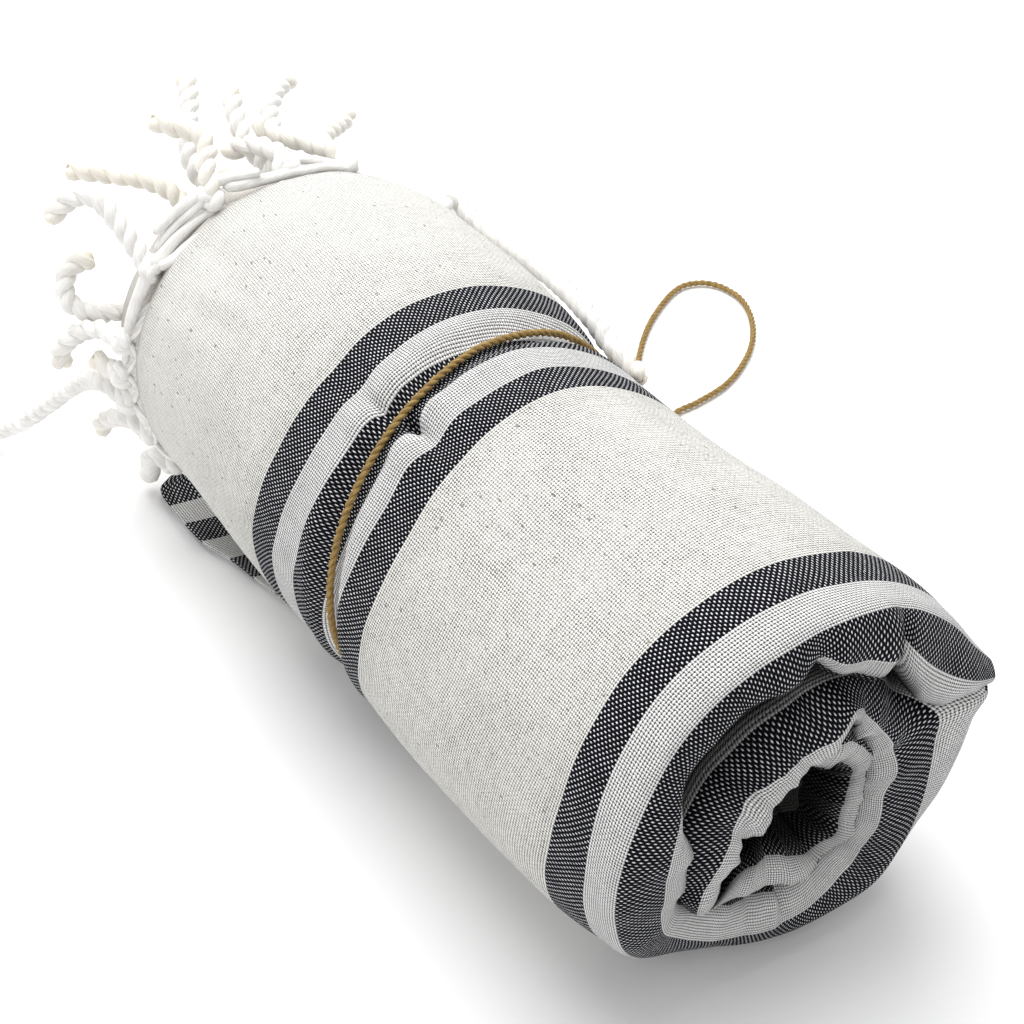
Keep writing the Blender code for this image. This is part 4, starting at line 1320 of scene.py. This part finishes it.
@dataclass
class RolledCloth:
    """The strip's outer ply, wound on the spiral with its rim folded at the near end."""

    winding: Winding
    finish: bpy.types.Material
    # degrees from column to column, and closer ones where the twine creases the top
    column_step: float = 2.0
    fine_span: tuple = (108.0, 134.0)
    fine_step: float = 0.7
    fine_clear: float = 0.2
    face_rows: int = 90
    rim_rows: tuple = (15, 10, 11, 10, 8)
    deep_rows: int = 8
    face_ends: float = -25.0
    # how far along the cloth the four lines of the rim lie, from the fringed edge
    line_marks: tuple = (213.2, 223.8, 234.4, 245.0)
    inside_x: tuple = (-14.0, -34.0)
    # where, along the cloth, shade is painted inside the rim and between the inner turns
    inside_shade: tuple = (240.0, 250.0)
    inside_fades: tuple = (330.0, 400.0)
    between_shade: tuple = (220.5, 228.5)
    between_starts: tuple = (110.0, 150.0)
    inner_turns_from: tuple = (366.0, 384.0)
    # where the rim hangs open, so that the painted shade starts sooner, by angle, and how much sooner
    open_rims: tuple = (((92.0, 104.0), (146.0, 158.0), 9.0), ((44.0, 50.0), (62.0, 68.0), 4.0))
    crumpled_from: tuple = (340.0, 380.0)
    # The other plies' edges at the fringed end, from the inmost outwards: their two faces as
    # shares of the strip's thickness from its outer face, and how far they stand out.
    ply_edges: tuple = ((1.0, 0.80, -1.5), (0.76, 0.56, 1.5), (0.52, 0.34, -0.5), (0.30, 0.15, 0.0))
    ply_recess: float = 6.0
    ply_bulge: float = 0.5
    outer_ply: float = 0.09
    # how much further the second ply stands out, by angle
    second_ply: tuple = (
        (10, 0.0), (86, 0.0), (98, 5.0), (108, 11.0), (122, 14.0), (138, 14.0), (150, 15.0),
        (168, 13.0), (180, 8.0), (192, 1.0), (230, -0.5), (940, 0.0),
    )
    # How far the cloth has slipped along the roll, by angle, at each of these places along it.
    slip_places: tuple = (-213.0, -165.0, -133.0, -112.0, -96.0, -85.0, -60.0, -25.0)
    slips: tuple = (
        (10, 0.0, 0.0, 0.0, 0.0, 0.0, 0.0, 0.0, 0.0),
        (43, 0.0, 0.0, 1.0, 0.5, 0.0, -1.0, -0.5, 0.0),
        (60, 0.0, 0.0, 1.6, 1.0, 0.6, 0.0, 0.0, 0.0),
        (75, 0.0, 0.0, 0.2, 0.0, -0.5, -1.5, -0.8, 0.0),
        (90, 0.0, 0.0, 0.0, 0.0, -0.5, -2.0, -1.0, 0.0),
        (105, 0.0, 0.0, 0.5, 0.3, 0.0, -1.2, 0.0, 0.8),
        (120, 0.0, 0.5, 2.0, 2.4, 1.5, 0.0, 0.8, 1.4),
        (130, 0.0, 0.8, 2.2, 2.6, 1.0, 0.8, 1.4, 1.8),
        (140, 0.0, 0.8, 2.2, 2.8, 2.4, 1.8, 2.0, 2.4),
        (150, 0.0, 0.6, 1.8, 2.4, 2.4, 1.8, 2.0, 2.6),
        (160, 0.0, 0.0, 0.5, 1.2, 1.4, 1.2, 1.6, 2.2),
        (170, 0.0, -0.4, -1.2, 0.0, -0.6, -0.3, 0.0, 0.2),
        (180, 0.0, -1.0, -3.6, -2.0, -3.0, -1.4, -1.2, -1.2),
        (190, 0.0, -1.4, -4.4, -3.5, -5.0, -3.4, -3.0, -3.2),
        (203, 0.0, -1.6, -5.0, -5.0, -7.0, -6.0, -5.0, -5.0),
        (240, 0.0, -1.5, -5.5, -6.0, -8.0, -7.0, -6.0, -5.5),
        (290, 0.0, -0.8, -3.0, -4.0, -4.0, -4.0, -3.5, -3.0),
        (345, 0.0, 0.0, 0.0, 0.0, 0.0, 0.0, 0.0, 0.0),
        (940, 0.0, 0.0, 0.0, 0.0, 0.0, 0.0, 0.0, 0.0),
    )
    # Pleats across the rim: the angle on the winding, half its width, and how far it stands
    # out at the third line and at the fourth.
    pleats: tuple = (
        (28.0, 5.0, 0.3, 1.0), (104.0, 3.0, 0.5, 0.4), (114.0, 3.5, -0.5, -0.5), (127.0, 4.0, 0.5, 0.6),
        (139.0, 3.5, -0.5, -0.8), (150.0, 3.5, 0.4, 0.8), (171.0, 4.0, -0.4, -0.8),
        (182.0, 3.5, 0.3, 0.9), (236.0, 5.0, 0.3, 1.2), (252.0, 4.0, -0.3, -1.3),
        (266.0, 3.0, 0.3, 1.6), (270.5, 2.2, -0.3, -2.4), (281.0, 5.0, 0.3, 1.0),
        (306.0, 4.0, 0.4, 1.2), (316.0, 3.0, -0.5, -1.6), (328.0, 4.0, 0.6, 1.4),
        (341.0, 3.5, -0.6, -1.6), (352.0, 3.5, 0.7, 1.4), (363.0, 3.5, -0.7, -1.2),
        (373.0, 3.0, 0.8, 1.2), (384.0, 3.5, -0.5, -1.4), (396.0, 4.0, 0.5, 1.5),
        (410.0, 4.0, -0.3, -1.2), (438.0, 3.5, 0.5, 1.2), (455.0, 4.5, -0.5, -1.0),
        (474.0, 4.0, 0.5, 1.0), (494.0, 3.5, -0.5, -1.2), (508.0, 3.5, 0.6, 1.2),
        (524.0, 5.0, -0.4, -1.4), (546.0, 4.0, 0.4, 1.2), (560.0, 3.5, -0.5, -1.0),
        (605.0, 4.0, 0.5, 0.9), (620.0, 4.0, -0.5, -1.0), (634.0, 3.0, 0.6, 1.0),
        (655.0, 3.0, -0.8, -0.9), (667.0, 3.0, 0.4, 0.7), (679.0, 3.0, -0.6, -0.8),
        (694.0, 3.5, 0.6, 0.9), (713.0, 4.0, -0.7, -0.9), (729.0, 3.5, 0.7, 0.9),
        (746.0, 3.5, -0.7, -0.8), (762.0, 3.5, 0.6, 0.8),
    )
    # Soft troughs and ridges in the outer face: x, angle, half length along the roll, half
    # length round it in degrees, the way the long axis leans, and height.
    creases: tuple = (
        (-105.5, 119.3, 4.6, 1.5, 0.0, -3.6), (-101.0, 119.0, 9.0, 3.2, 0.0, -1.6),
        (-103.0, 126.5, 9.0, 4.6, 0.2, 1.5), (-102.0, 111.5, 9.0, 4.6, -0.2, 1.3),
        (-116.5, 122.0, 4.5, 1.6, 0.0, -1.8), (-119.0, 128.0, 8.0, 4.5, 0.0, 1.0),
        (-119.5, 115.0, 8.0, 4.5, 0.0, 0.9), (-130.0, 122.0, 8.0, 5.0, 0.0, -0.9),
        (-100.0, 150.0, 8.0, 8.0, 0.0, 0.6), (-100.0, 84.0, 9.0, 7.0, 0.0, 0.6),
        (-200.0, 124.0, 11.0, 4.2, 0.0, -1.0), (-188.0, 133.5, 9.5, 4.8, -1.0, 1.0),
        (-192.0, 147.0, 12.0, 5.5, -0.5, 0.7), (-165.0, 100.0, 22.0, 8.0, -0.4, 0.7),
        (-190.0, 88.0, 14.0, 8.0, 0.2, -0.7), (-175.0, 150.0, 24.0, 9.0, 0.3, 0.6),
        (-50.0, 120.0, 30.0, 10.0, 0.2, -0.7), (-60.0, 85.0, 25.0, 9.0, -0.3, 0.5),
        (-30.0, 150.0, 26.0, 9.0, 0.1, 0.5),
    )

    def ruffle(self, x: np.ndarray, angle: np.ndarray) -> np.ndarray:
        """The height of the creases in the outermost turn.

        Args:
            x: millimetres along the roll.
            angle: degrees round it.

        Returns:
            What to add to the radius there.
        """
        height = np.zeros(np.broadcast(x, angle).shape)
        for cx, ca, half_x, half_a, lean, rise in self.creases:
            across = (angle - ca) / half_a
            along = (x - cx - lean * across * half_x) / half_x
            height = height + rise * np.exp(-(across**2) - along**2)
        return height * (angle < 360.0)

    def rim_lines(self, angle: np.ndarray) -> np.ndarray:
        """The four lines of the rim, read at all the angles.

        Args:
            angle: places round the spiral.

        Returns:
            Points in millimetres, a line for each angle and in it the four places.
        """
        rows = []
        for at, *lines in RIM_LINES:
            row = [float(at)]
            for x, turned, radius in lines:
                spot = math.radians(turned)
                row += [x, radius * math.cos(spot), radius * math.sin(spot)]
            rows.append(row)
        lines = smooth_table(rows, angle).reshape(len(angle), 4, 3)
        along = np.gradient(lines, axis=0)
        for k, across in ((2, lines[:, 3] - lines[:, 1]), (3, lines[:, 3] - lines[:, 2])):
            away = np.cross(along[:, k], across)
            away = away / np.linalg.norm(away, axis=1)[:, None]
            for at, half, *heights in self.pleats:
                bump = heights[k - 2] * np.exp(-(((angle - at) / half) ** 2))
                lines[:, k] += away * bump[:, None]
        return lines

    def sections(self, angle: np.ndarray) -> tuple[np.ndarray, np.ndarray]:
        """The strip's sections at all the angles.

        Args:
            angle: places round the spiral.

        Returns:
            The points about the roll's centre line, a line for each row and in it a column
            for each angle, and how far along the cloth each lies.
        """
        wind = self.winding
        outer, inner = wind.outer(angle), wind.inner(angle)
        far = wind.far_x + wind.far_back(angle)
        spin = np.stack([0 * angle, np.cos(np.radians(angle)), np.sin(np.radians(angle))], axis=-1)

        def ring(x: np.ndarray, radius: np.ndarray) -> np.ndarray:
            """Points at each angle, at x along the roll and radius from its centre line."""
            points = spin * radius[..., None]
            points[..., 0] = x
            return points

        share = np.linspace(0.0, 1.0, self.face_rows)[:, None]
        face_x = far + (self.face_ends - far) * share
        face_r = outer - wind.waist(face_x, angle) + wind.swell(face_x, angle)
        face_r = face_r + self.ruffle(face_x, angle)
        places = smooth_table(self.slips, angle)
        slip = np.stack([np.interp(x, self.slip_places, row) for x, row in zip(face_x.T, places)], axis=1)
        points, marks = [ring(face_x, face_r)], [face_x - wind.far_x - slip]

        lines = self.rim_lines(angle).transpose(1, 0, 2)
        knots = [
            ring(0 * angle + 2 * self.face_ends, outer),
            ring(0 * angle + self.face_ends, face_r[-1]),
            *lines,
            *(ring(0 * angle + x, inner) for x in self.inside_x),
        ]
        reach = np.linalg.norm(knots[6] - knots[5], axis=1)
        at = [marks[0][-1], *(0 * angle + m for m in self.line_marks)]
        at.append(at[-1] + reach)
        for k, rows in enumerate(self.rim_rows):
            leave, arrive = span_slopes(knots[k : k + 4])
            for t in np.linspace(0.0, 1.0, rows + 1)[1:]:
                points.append(cubic(knots[k + 1], leave, knots[k + 2], arrive, t)[None])
                marks.append((at[k] + (at[k + 1] - at[k]) * t)[None])
        start_x = self.inside_x[0]
        share = np.linspace(0.0, 1.0, self.deep_rows + 1)[1:, None]
        points.append(ring(start_x + (far - start_x) * share, inner + 0 * share))
        marks.append(at[-1] + (start_x - far) * share)
        for x, depth in self.end_rows(angle):
            points.append(ring(far - x, outer + (inner - outer) * depth)[None])
            marks.append((far - x - wind.far_x)[None])
        points.append(points[0][:1])
        marks.append(marks[0][:1])
        return np.concatenate(points), np.concatenate(marks)

    def end_rows(self, angle: np.ndarray) -> list[tuple[np.ndarray, float]]:
        """The rows that fold in and out round the plies' edges at the fringed end.

        Args:
            angle: places round the spiral.

        Returns:
            For each row, how far it stands out at each angle, and its share of the thickness.
        """
        rows = []
        extra = smooth_table(self.second_ply, angle)[:, 0]
        for k, (deep, shallow, stand) in enumerate(self.ply_edges):
            out = stand + (extra if k == len(self.ply_edges) - 1 else 0 * angle)
            if k:
                rows.append((0 * out - self.ply_recess, deep + 0.02))
                rows.append(((out - self.ply_recess) / 2, deep + 0.01))
            rows += [(out, deep), (out + self.ply_bulge, (deep + shallow) / 2), (out, shallow)]
            rows.append(((out - self.ply_recess) / 2, shallow - 0.01))
            rows.append((0 * out - self.ply_recess, shallow - 0.02))
        rows.append((0 * angle, self.outer_ply))
        return rows

    def crevices(self, angle: np.ndarray, marks: np.ndarray) -> np.ndarray:
        """How much shade is painted on each place, deep between two turns where hardly any light comes.

        Args:
            angle: places round the spiral.
            marks: how far along the cloth each place lies.

        Returns:
            From 0 in the open to 1 deep inside.
        """
        sooner = sum(early * plateau(angle, rise, fall) for rise, fall, early in self.open_rims)
        inside = smooth_step(marks + sooner, *self.inside_shade)
        inside = inside * (1.0 - smooth_step(marks, *self.inside_fades))
        between = plateau(marks, self.between_starts, self.between_shade)
        return np.maximum(inside, between * smooth_step(angle, *self.inner_turns_from))

    def lengths_round(self, angle: np.ndarray, marks: np.ndarray) -> np.ndarray:
        """How far round the cloth each place lies: by the outer face along most of the roll,
        and by the rim's own length where the inner turns are crumpled together.

        Args:
            angle: places round the spiral.
            marks: how far along the cloth each place lies.

        Returns:
            Millimetres from the strip's outer end.
        """
        on_face = running(np.radians(np.diff(angle)) * self.winding.outer(angle)[1:])
        lines = self.rim_lines(angle)
        middle = (lines[:, 1] + lines[:, 2]) / 2
        steps = np.linalg.norm(np.diff(middle, axis=0), axis=1)
        crumpled = smooth_step(angle[1:], *self.crumpled_from)
        on_rim = running((1 - crumpled) * np.diff(on_face) + crumpled * steps)
        near = smooth_step(marks, *self.line_marks[:2])
        return on_face * (1 - near) + on_rim * near

    def build(self) -> bpy.types.Object:
        """Makes the wound sheet.

        Returns:
            The sheet, in place of the solid roll.
        """
        wind = self.winding
        count = round((wind.last - wind.first) / self.column_step) + 1
        coarse = np.linspace(wind.first, wind.last, count)
        fine = np.arange(self.fine_span[0], self.fine_span[1], self.fine_step)
        low, high = (end - self.fine_clear for end in self.fine_span)
        kept = coarse[(coarse < low) | (coarse > high)]
        angle = np.sort(np.concatenate([kept, fine]))
        points, marks = self.sections(angle)
        points[..., 1] += wind.axis_y(points[..., 0])
        points[..., 2] = np.maximum(points[..., 2] + wind.axis_height, 0.0)
        coordinates = np.stack([self.lengths_round(angle, marks), marks], axis=-1)
        # painted shade in the crevices between the turns
        dark = self.crevices(angle, marks)
        sheet = grid_sheet("rolled_cloth", (points + ROLL_ORIGIN) * MM, coordinates * MM, True, dark)
        close_and_face_out(sheet)
        dress(sheet, self.finish)
        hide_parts("towel_roll")
        return sheet


# ---- the loose ply -------------------------------------------------------------------
@dataclass
class LoosePly:
    """The ply that sticks out on the floor from under the roll."""

    winding: Winding
    finish: bpy.types.Material
    inner_y: float = -17.6
    thickness: float = 1.5
    top_rows: int = 16
    lift_curve: float = 2.5
    edge_bulge: float = 0.5
    off_floor: float = 0.05
    # its outer edge: x, y and the lift of its underside
    edge: tuple = (
        (-236, -33.0, 0.6), (-231, -38.5, 1.4), (-221, -40.2, 2.2), (-210, -40.8, 2.8),
        (-199, -40.2, 2.6), (-188, -36.8, 2.0), (-178, -35.2, 1.6), (-166, -33.0, 1.2),
        (-152, -31.0, 1.0),
    )
    # where its warp crosses the stripes: x, and how far along the cloth that is
    warp_marks: tuple = ((-236.0, 203.0), (-221.0, 213.2), (-152.0, 282.2))

    def build(self) -> bpy.types.Object:
        """Makes the ply as one thin sheet, bent round at its outer edge.

        Returns:
            The sheet, in place of its solid.
        """
        line = smooth_route(self.edge, 1.4)
        x, y, lift = line[:, 0], line[:, 1], line[:, 2]
        inner = self.inner_y + self.winding.axis_y(x)
        rows = []
        for share in np.linspace(0.0, 1.0, self.top_rows):
            height = lift * share**self.lift_curve + self.thickness
            rows.append(np.stack([x, inner + (y - inner) * share, height], axis=1))
        for turn in (0.35, 0.7, 1.0):
            droop = self.thickness * (1 - math.cos(turn * math.pi / 2))
            bulge = self.edge_bulge * math.sin(turn * math.pi)
            rows.append(np.stack([x, y - bulge, lift + self.thickness - droop], axis=1))
        for share in (0.75, 0.4, 0.0):
            under = np.maximum(lift * share**self.lift_curve, self.off_floor)
            rows.append(np.stack([x, inner + (y - inner) * share, under], axis=1))
        rows.append(rows[0])
        points = np.array(rows)
        across = lengths_along(points[:, len(x) // 2])
        warp = np.interp(points[..., 0], *zip(*self.warp_marks))
        cloth = np.stack([np.broadcast_to(across[:, None], points.shape[:2]), warp], axis=-1)
        sheet = grid_sheet("loose_ply", (points + ROLL_ORIGIN) * MM, cloth * MM, closed_rows=True)
        close_and_face_out(sheet)
        dress(sheet, self.finish)
        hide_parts("loose_edge")
        return sheet


# ---- the fringe ----------------------------------------------------------------------
@dataclass
class FringeTassels:
    """Tassels twisted from two plies, each knotted from a gathered share of the warp."""

    winding: Winding
    finish: bpy.types.Material
    ply_radius: float = 1.82
    lay_radius: float = 1.22
    pitch: float = 9.0
    sides: int = 9
    step: float = 0.85
    knot_at: float = 5.0
    knot_size: float = 0.85
    knot_depth: float = 1.5
    knot_points: int = 49
    gather_arc: float = 14.0
    # tassels that have yellowed, and how much
    yellowed: tuple = (("inner_level", 0.55), ("crown", 0.4), ("over_the_top", 0.35), ("inner_back", 0.25))
    gather_threads: int = 5
    gather_radius: float = 0.85
    gather_points: int = 33
    gather_sides: int = 6
    # where a tassel starts: past the cloth's edge, and inside its outer face
    root_sunk: tuple = (1.6, 2.2)
    # the plies grow thin over the last millimetres, after a slight swelling: its share, its
    # place and its width
    tip_length: float = 1.3
    tip_swelling: tuple = (0.12, 2.5, 1.6)
    tip_colour_fade: float = 3.5
    tip_joins: float = 1.5
    waver: float = 0.05
    waver_pace: float = 1.9
    least_radius: float = 0.05
    off_floor: float = 0.05

    def root(self, angle: float, depth: float, inset: float) -> np.ndarray:
        """A place by the cloth's fringed edge, in millimetres in the part's frame.

        Args:
            angle: degrees round the winding.
            depth: how far past the edge.
            inset: how far inside the outer face.

        Returns:
            The point.
        """
        at = np.array([angle])
        x = self.winding.far_x + self.winding.far_back(at) - depth
        return self.winding.place(x, self.winding.outer(at) - inset, at)[0] / MM

    def plies(self, line: np.ndarray, phase: float, tone: float) -> list[Tube]:
        """The two plies that a tassel is twisted from.

        Args:
            line: the tassel's centre line.
            phase: where the first ply starts round it, in radians.
            tone: how yellow it is along its length.

        Returns:
            The plies.
        """
        along = lengths_along(line)
        left = along[-1] - along
        share, place, width = self.tip_swelling
        swollen = 1.0 + share * np.exp(-(((left - place) / width) ** 2))
        slim = np.sqrt(np.clip(left / self.tip_length, 0.0, 1.0)) * swollen
        slim = slim * (1.0 + self.waver * np.sin(along * self.waver_pace + 3 * phase))
        radius = np.maximum(self.ply_radius * slim, self.least_radius)
        lay = self.lay_radius * np.clip(left / self.tip_joins, 0.25, 1.0)
        tip = np.maximum(np.exp(-left / self.tip_colour_fade), tone)
        tubes = []
        for half in (0.0, math.pi):
            middle = laid_round(line, 2 * np.pi * along / self.pitch + phase + half, lay)
            middle[:, 2] = np.maximum(middle[:, 2], radius + self.off_floor)
            tubes.append(Tube(middle, radius, tip, line))
        return tubes

    def knot(self, middle: np.ndarray, direction: np.ndarray, turn: float) -> Tube:
        """The overhand knot at a tassel's root.

        Args:
            middle: its place.
            direction: the way the tassel leaves it.
            turn: how far it is turned about that, in radians.

        Returns:
            The knot as one closed strand.
        """
        side = np.cross(direction, (0.0, 0.0, 1.0) if abs(direction[2]) < 0.9 else (0.0, 1.0, 0.0))
        side = side / np.linalg.norm(side)
        other = np.cross(direction, side)
        first = np.cos(turn) * side + np.sin(turn) * other
        second = np.cross(direction, first)
        axes = (first, second, direction)
        line = overhand_knot(middle, axes, self.knot_size, self.knot_depth, self.knot_points)
        return Tube(line, np.full(len(line), self.ply_radius))

    def gathers(self, name: str, angle: float, knot: np.ndarray) -> list[Tube]:
        """The warp threads that run along the cloth's edge to a knot, in a bundle either way,
        or the bundles listed for the tassel.

        Args:
            name: the tassel's name.
            angle: the tassel's angle round the winding.
            knot: the knot's place.

        Returns:
            The threads.
        """
        threads = []
        share = np.linspace(0.0, 1.0, self.gather_points)
        for points, start, end in GATHERED.get(name, ()):
            line = smooth_route(np.array(points, float) + ROLL_ORIGIN, 0.5)
            line = resampled(line, self.gather_points)
            radius = start + (end - start) * share
            radius = radius * np.sqrt(np.clip(np.minimum(share, 1 - share) / 0.05, 0.05, 1.0))
            threads.append(Tube(line, radius))
        if threads:
            return threads
        radius = self.gather_radius * (0.55 + 0.5 * share**0.5)
        reach = math.degrees(self.gather_arc / float(self.winding.outer(np.array([angle]))[0]))
        for side in (-1.0, 1.0):
            for k in range(self.gather_threads):
                # each thread leaves the cloth inside its face, runs past its edge and rises
                away = side * reach * (0.25 + 0.75 * ((k + 1.0) / self.gather_threads))
                over = 0.55 * k
                line = smooth_route(
                    [
                        self.root(angle + away, -2.0, 2.6),
                        self.root(angle + away * 0.93, 0.7, 1.6 + 0.2 * (k % 2)),
                        self.root(angle + away * 0.6, 1.3 + over, 0.7 + 0.5 * (k % 2)),
                        0.35 * knot + 0.65 * self.root(angle + away * 0.25, 1.6 + over, 0.4 * (k % 2)),
                        knot,
                    ],
                    1.0,
                )
                threads.append(Tube(resampled(line, self.gather_points), radius))
        return threads

    def tassel(self, name: str, angle: float, route: Sequence, index: int) -> list[bpy.types.Object]:
        """One tassel: its gathers, its knot and its two plies.

        Args:
            name: what its pieces are called.
            angle: the root's angle round the winding.
            route: the points that it passes, in the tables' own frame.
            index: its number in its group.

        Returns:
            The pieces.
        """
        start = self.root(angle, *self.root_sunk)
        line = smooth_route([start, *(np.array(route, float) + ROLL_ORIGIN)], self.step)
        first = round(self.knot_at / self.step)
        middle = line[first]
        direction = line[first + 2] - line[first - 2]
        direction = direction / np.linalg.norm(direction)
        phase = 1.7 * index + angle
        tone = dict(self.yellowed).get(name, 0.0)
        plies = bundle(name + "_plies", self.plies(line[first:], phase, tone), self.sides)
        knot = bundle(name + "_knot", [self.knot(middle, direction, phase)], self.sides)
        gathers = bundle(name + "_gathers", self.gathers(name, angle, middle), self.gather_sides)
        return [plies, knot, gathers]

    def build(self) -> list[bpy.types.Object]:
        """Makes each group of tassels in place of its node.

        Returns:
            The groups.
        """
        made = []
        for node, tassels in FRINGES.items():
            pieces = []
            for index, (key, (angle, route)) in enumerate(tassels.items()):
                pieces += self.tassel(key, float(angle), route, index)
            group = join_all(pieces, node.replace("fringe", "tassels"))
            dress(group, self.finish)
            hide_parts(node)
            made.append(group)
        return made


# ---- the twine -----------------------------------------------------------------------
@dataclass
class TwineTie:
    """A two-ply twine: the band round the roll, its knot, and the bow's long loop."""

    winding: Winding
    finish: bpy.types.Material
    ply_radius: float = 0.64
    lay_radius: float = 0.42
    pitch: float = 4.6
    sides: int = 7
    step: float = 0.6
    diameter: float = 2.2
    sit_gap: float = 0.3
    slack: float = 0.15
    bridge_angle: float = 30.0
    knot_angle: float = -36.0
    knot_radius: float = 3.4
    knot_size: float = 0.95
    knot_depth: float = 1.3
    knot_points: int = 73
    knot_strand: float = 0.85
    knot_sides: int = 9
    knot_clear: float = 0.5
    band_points: int = 68
    waver: float = 0.10
    waver_paces: tuple = (0.83, 0.31)
    off_floor: float = 0.02

    def band_line(self) -> np.ndarray:
        """The middle of the band, from one side of the knot round to the other.

        Returns:
            Points in millimetres in the part's frame.
        """
        wind = self.winding
        clear = math.degrees((self.knot_radius + self.sit_gap + self.knot_clear) / wind.radius)
        angle = np.linspace(self.knot_angle + clear, self.knot_angle + 360 - clear, self.band_points)
        climbed = smooth_step(angle, -self.bridge_angle, wind.first)
        below = wind.outer(np.minimum(angle, wind.first) + 360)
        above = wind.outer(np.maximum(angle, wind.first))
        outer = (1 - climbed) * below + climbed * above
        radius = outer - wind.waist_depth + self.sit_gap + self.diameter / 2 + self.slack
        return wind.place(wind.waist_middle(angle), radius, angle) / MM

    def twisted(self, name: str, line: np.ndarray) -> bpy.types.Object:
        """Lays two plies round a line.

        Args:
            name: the object's name.
            line: points in millimetres in the part's frame.

        Returns:
            The twine.
        """
        fine = smooth_route(line, self.step)
        along = lengths_along(fine)
        tubes = []
        for half in (0.0, math.pi):
            middle = laid_round(fine, 2 * np.pi * along / self.pitch + half, self.lay_radius)
            paces = self.waver_paces
            uneven = self.waver * np.sin(along * paces[0] + half) * np.sin(along * paces[1])
            thick = self.ply_radius * (1.0 + uneven)
            middle[:, 2] = np.maximum(middle[:, 2], thick + self.off_floor)
            tubes.append(Tube(middle, thick))
        return bundle(name, tubes, self.sides)

    def build(self) -> list[bpy.types.Object]:
        """Makes the tie in place of its three nodes.

        Returns:
            The band, the knot and the loop.
        """
        band_line = self.band_line()
        band = dress(self.twisted("twine_band", band_line), self.finish)
        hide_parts("tie_band")
        low, high = (np.array(corner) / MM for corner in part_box("tie_knot"))
        turned = math.radians(self.knot_angle)
        out = np.array((0.0, math.cos(turned), math.sin(turned)))
        side = np.array((1.0, 0.0, 0.0))
        axes = (np.cross(out, side), side, out)
        knot_line = overhand_knot((low + high) / 2, axes, self.knot_size, self.knot_depth, self.knot_points)
        strand = Tube(knot_line, np.full(len(knot_line), self.knot_strand))
        knot = dress(bundle("twine_knot", [strand], self.knot_sides), self.finish)
        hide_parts("tie_knot")
        loop_line = np.array(LOOP_ROUTE) + ROLL_ORIGIN
        loop = dress(self.twisted("twine_loop", loop_line), self.finish)
        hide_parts("tie_loop")
        for cord, line, lay_kind in ((band, band_line, "taut"), (loop, loop_line, "loose")):
            tuple(line[0] * MM)
            length_of(smooth_route(line, self.step)) * MM
            [tuple(point * MM) for point in smooth_route(line, 3.0)]
        return [band, knot, loop]


# ---- the studio ----------------------------------------------------------------------
@dataclass(frozen=True)
class SoftBox:
    """A square lamp that faces the middle of the floor: metres and watts."""

    name: str
    spot: tuple
    size: float
    power: float


@dataclass
class Studio:
    """A pale floor, soft light and the camera at the photograph's angle."""

    finish: bpy.types.Material
    eye: tuple = (221.3, -221.1, 375.2)
    azimuth: float = 55.48
    elevation: float = 38.72
    roll: float = -0.08
    focal_pixels: float = 2000.0
    sensor: float = 36.0
    floor_size: float = 6.0
    floor_drop: float = 0.0002
    surroundings: float = 0.65
    lamps: tuple = (
        SoftBox("key_box", (-0.36, 0.16, 1.2), 1.25, 21.0),
        SoftBox("fill_box", (0.2, -1.2, 0.9), 0.9, 3.0),
    )

    def place_camera(self) -> None:
        """Adds the camera."""
        turn, rise = math.radians(self.azimuth), math.radians(self.elevation)
        back = Vector(
            (math.sin(turn) * math.cos(rise), -math.cos(turn) * math.cos(rise), math.sin(rise))
        )
        right = Vector((math.cos(turn), math.sin(turn), 0.0))
        axes = Matrix((right, back.cross(right), back)).transposed().to_4x4()
        spot = Matrix.Translation((np.array(self.eye) + ROLL_ORIGIN) * MM)
        bpy.ops.object.camera_add()
        camera = bpy.context.object
        camera.name = "photo_camera"
        camera.matrix_world = spot @ axes @ Matrix.Rotation(math.radians(self.roll), 4, "Z")
        camera.data.sensor_width = self.sensor
        camera.data.lens = self.sensor * self.focal_pixels / PHOTO_PIXELS
        camera.data.clip_start = 0.01
        bpy.context.scene.camera = camera

    def light(self) -> None:
        """Adds the floor, the soft boxes and the pale surroundings."""
        bpy.ops.mesh.primitive_plane_add(size=self.floor_size, location=(0.0, 0.0, -self.floor_drop))
        floor = bpy.context.object
        floor.name = "studio_floor"
        floor.data.materials.append(self.finish)
        world = bpy.data.worlds.new("studio_surroundings")
        world.use_nodes = True
        background = world.node_tree.nodes["Background"]
        background.inputs["Color"].default_value = (1.0, 1.0, 1.0, 1.0)
        background.inputs["Strength"].default_value = self.surroundings
        bpy.context.scene.world = world
        for lamp in self.lamps:
            bpy.ops.object.light_add(type="AREA", location=lamp.spot)
            box = bpy.context.object
            box.name = lamp.name
            box.data.size = lamp.size
            box.data.energy = lamp.power
            box.rotation_mode = "QUATERNION"
            box.rotation_quaternion = (-Vector(lamp.spot)).to_track_quat("-Z", "Y")
        bpy.context.scene.view_settings.view_transform = "Standard"


def main() -> None:
    """Builds the towel's pieces in order and reports each."""
    logging.basicConfig(level=logging.INFO, format="%(name)s: %(message)s")
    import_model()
    winding = Winding()
    studio = Studio(PaleFloor().make())
    studio.place_camera()
    studio.light()
    tie = TwineTie(winding, JuteTwine().make()).build()
    LOG.info("twine: %d pieces", len(tie))
    cotton = WovenCotton().make()
    cloth = RolledCloth(winding, cotton).build()
    LOG.info("wound cloth: %d faces", len(cloth.data.polygons))
    ply = LoosePly(winding, cotton).build()
    LOG.info("loose ply: %d faces", len(ply.data.polygons))
    fringe = FringeTassels(winding, CottonYarn().make()).build()
    LOG.info("fringe: %d groups, %d faces", len(fringe), sum(len(g.data.polygons) for g in fringe))


if __name__ == "__main__":
    main()
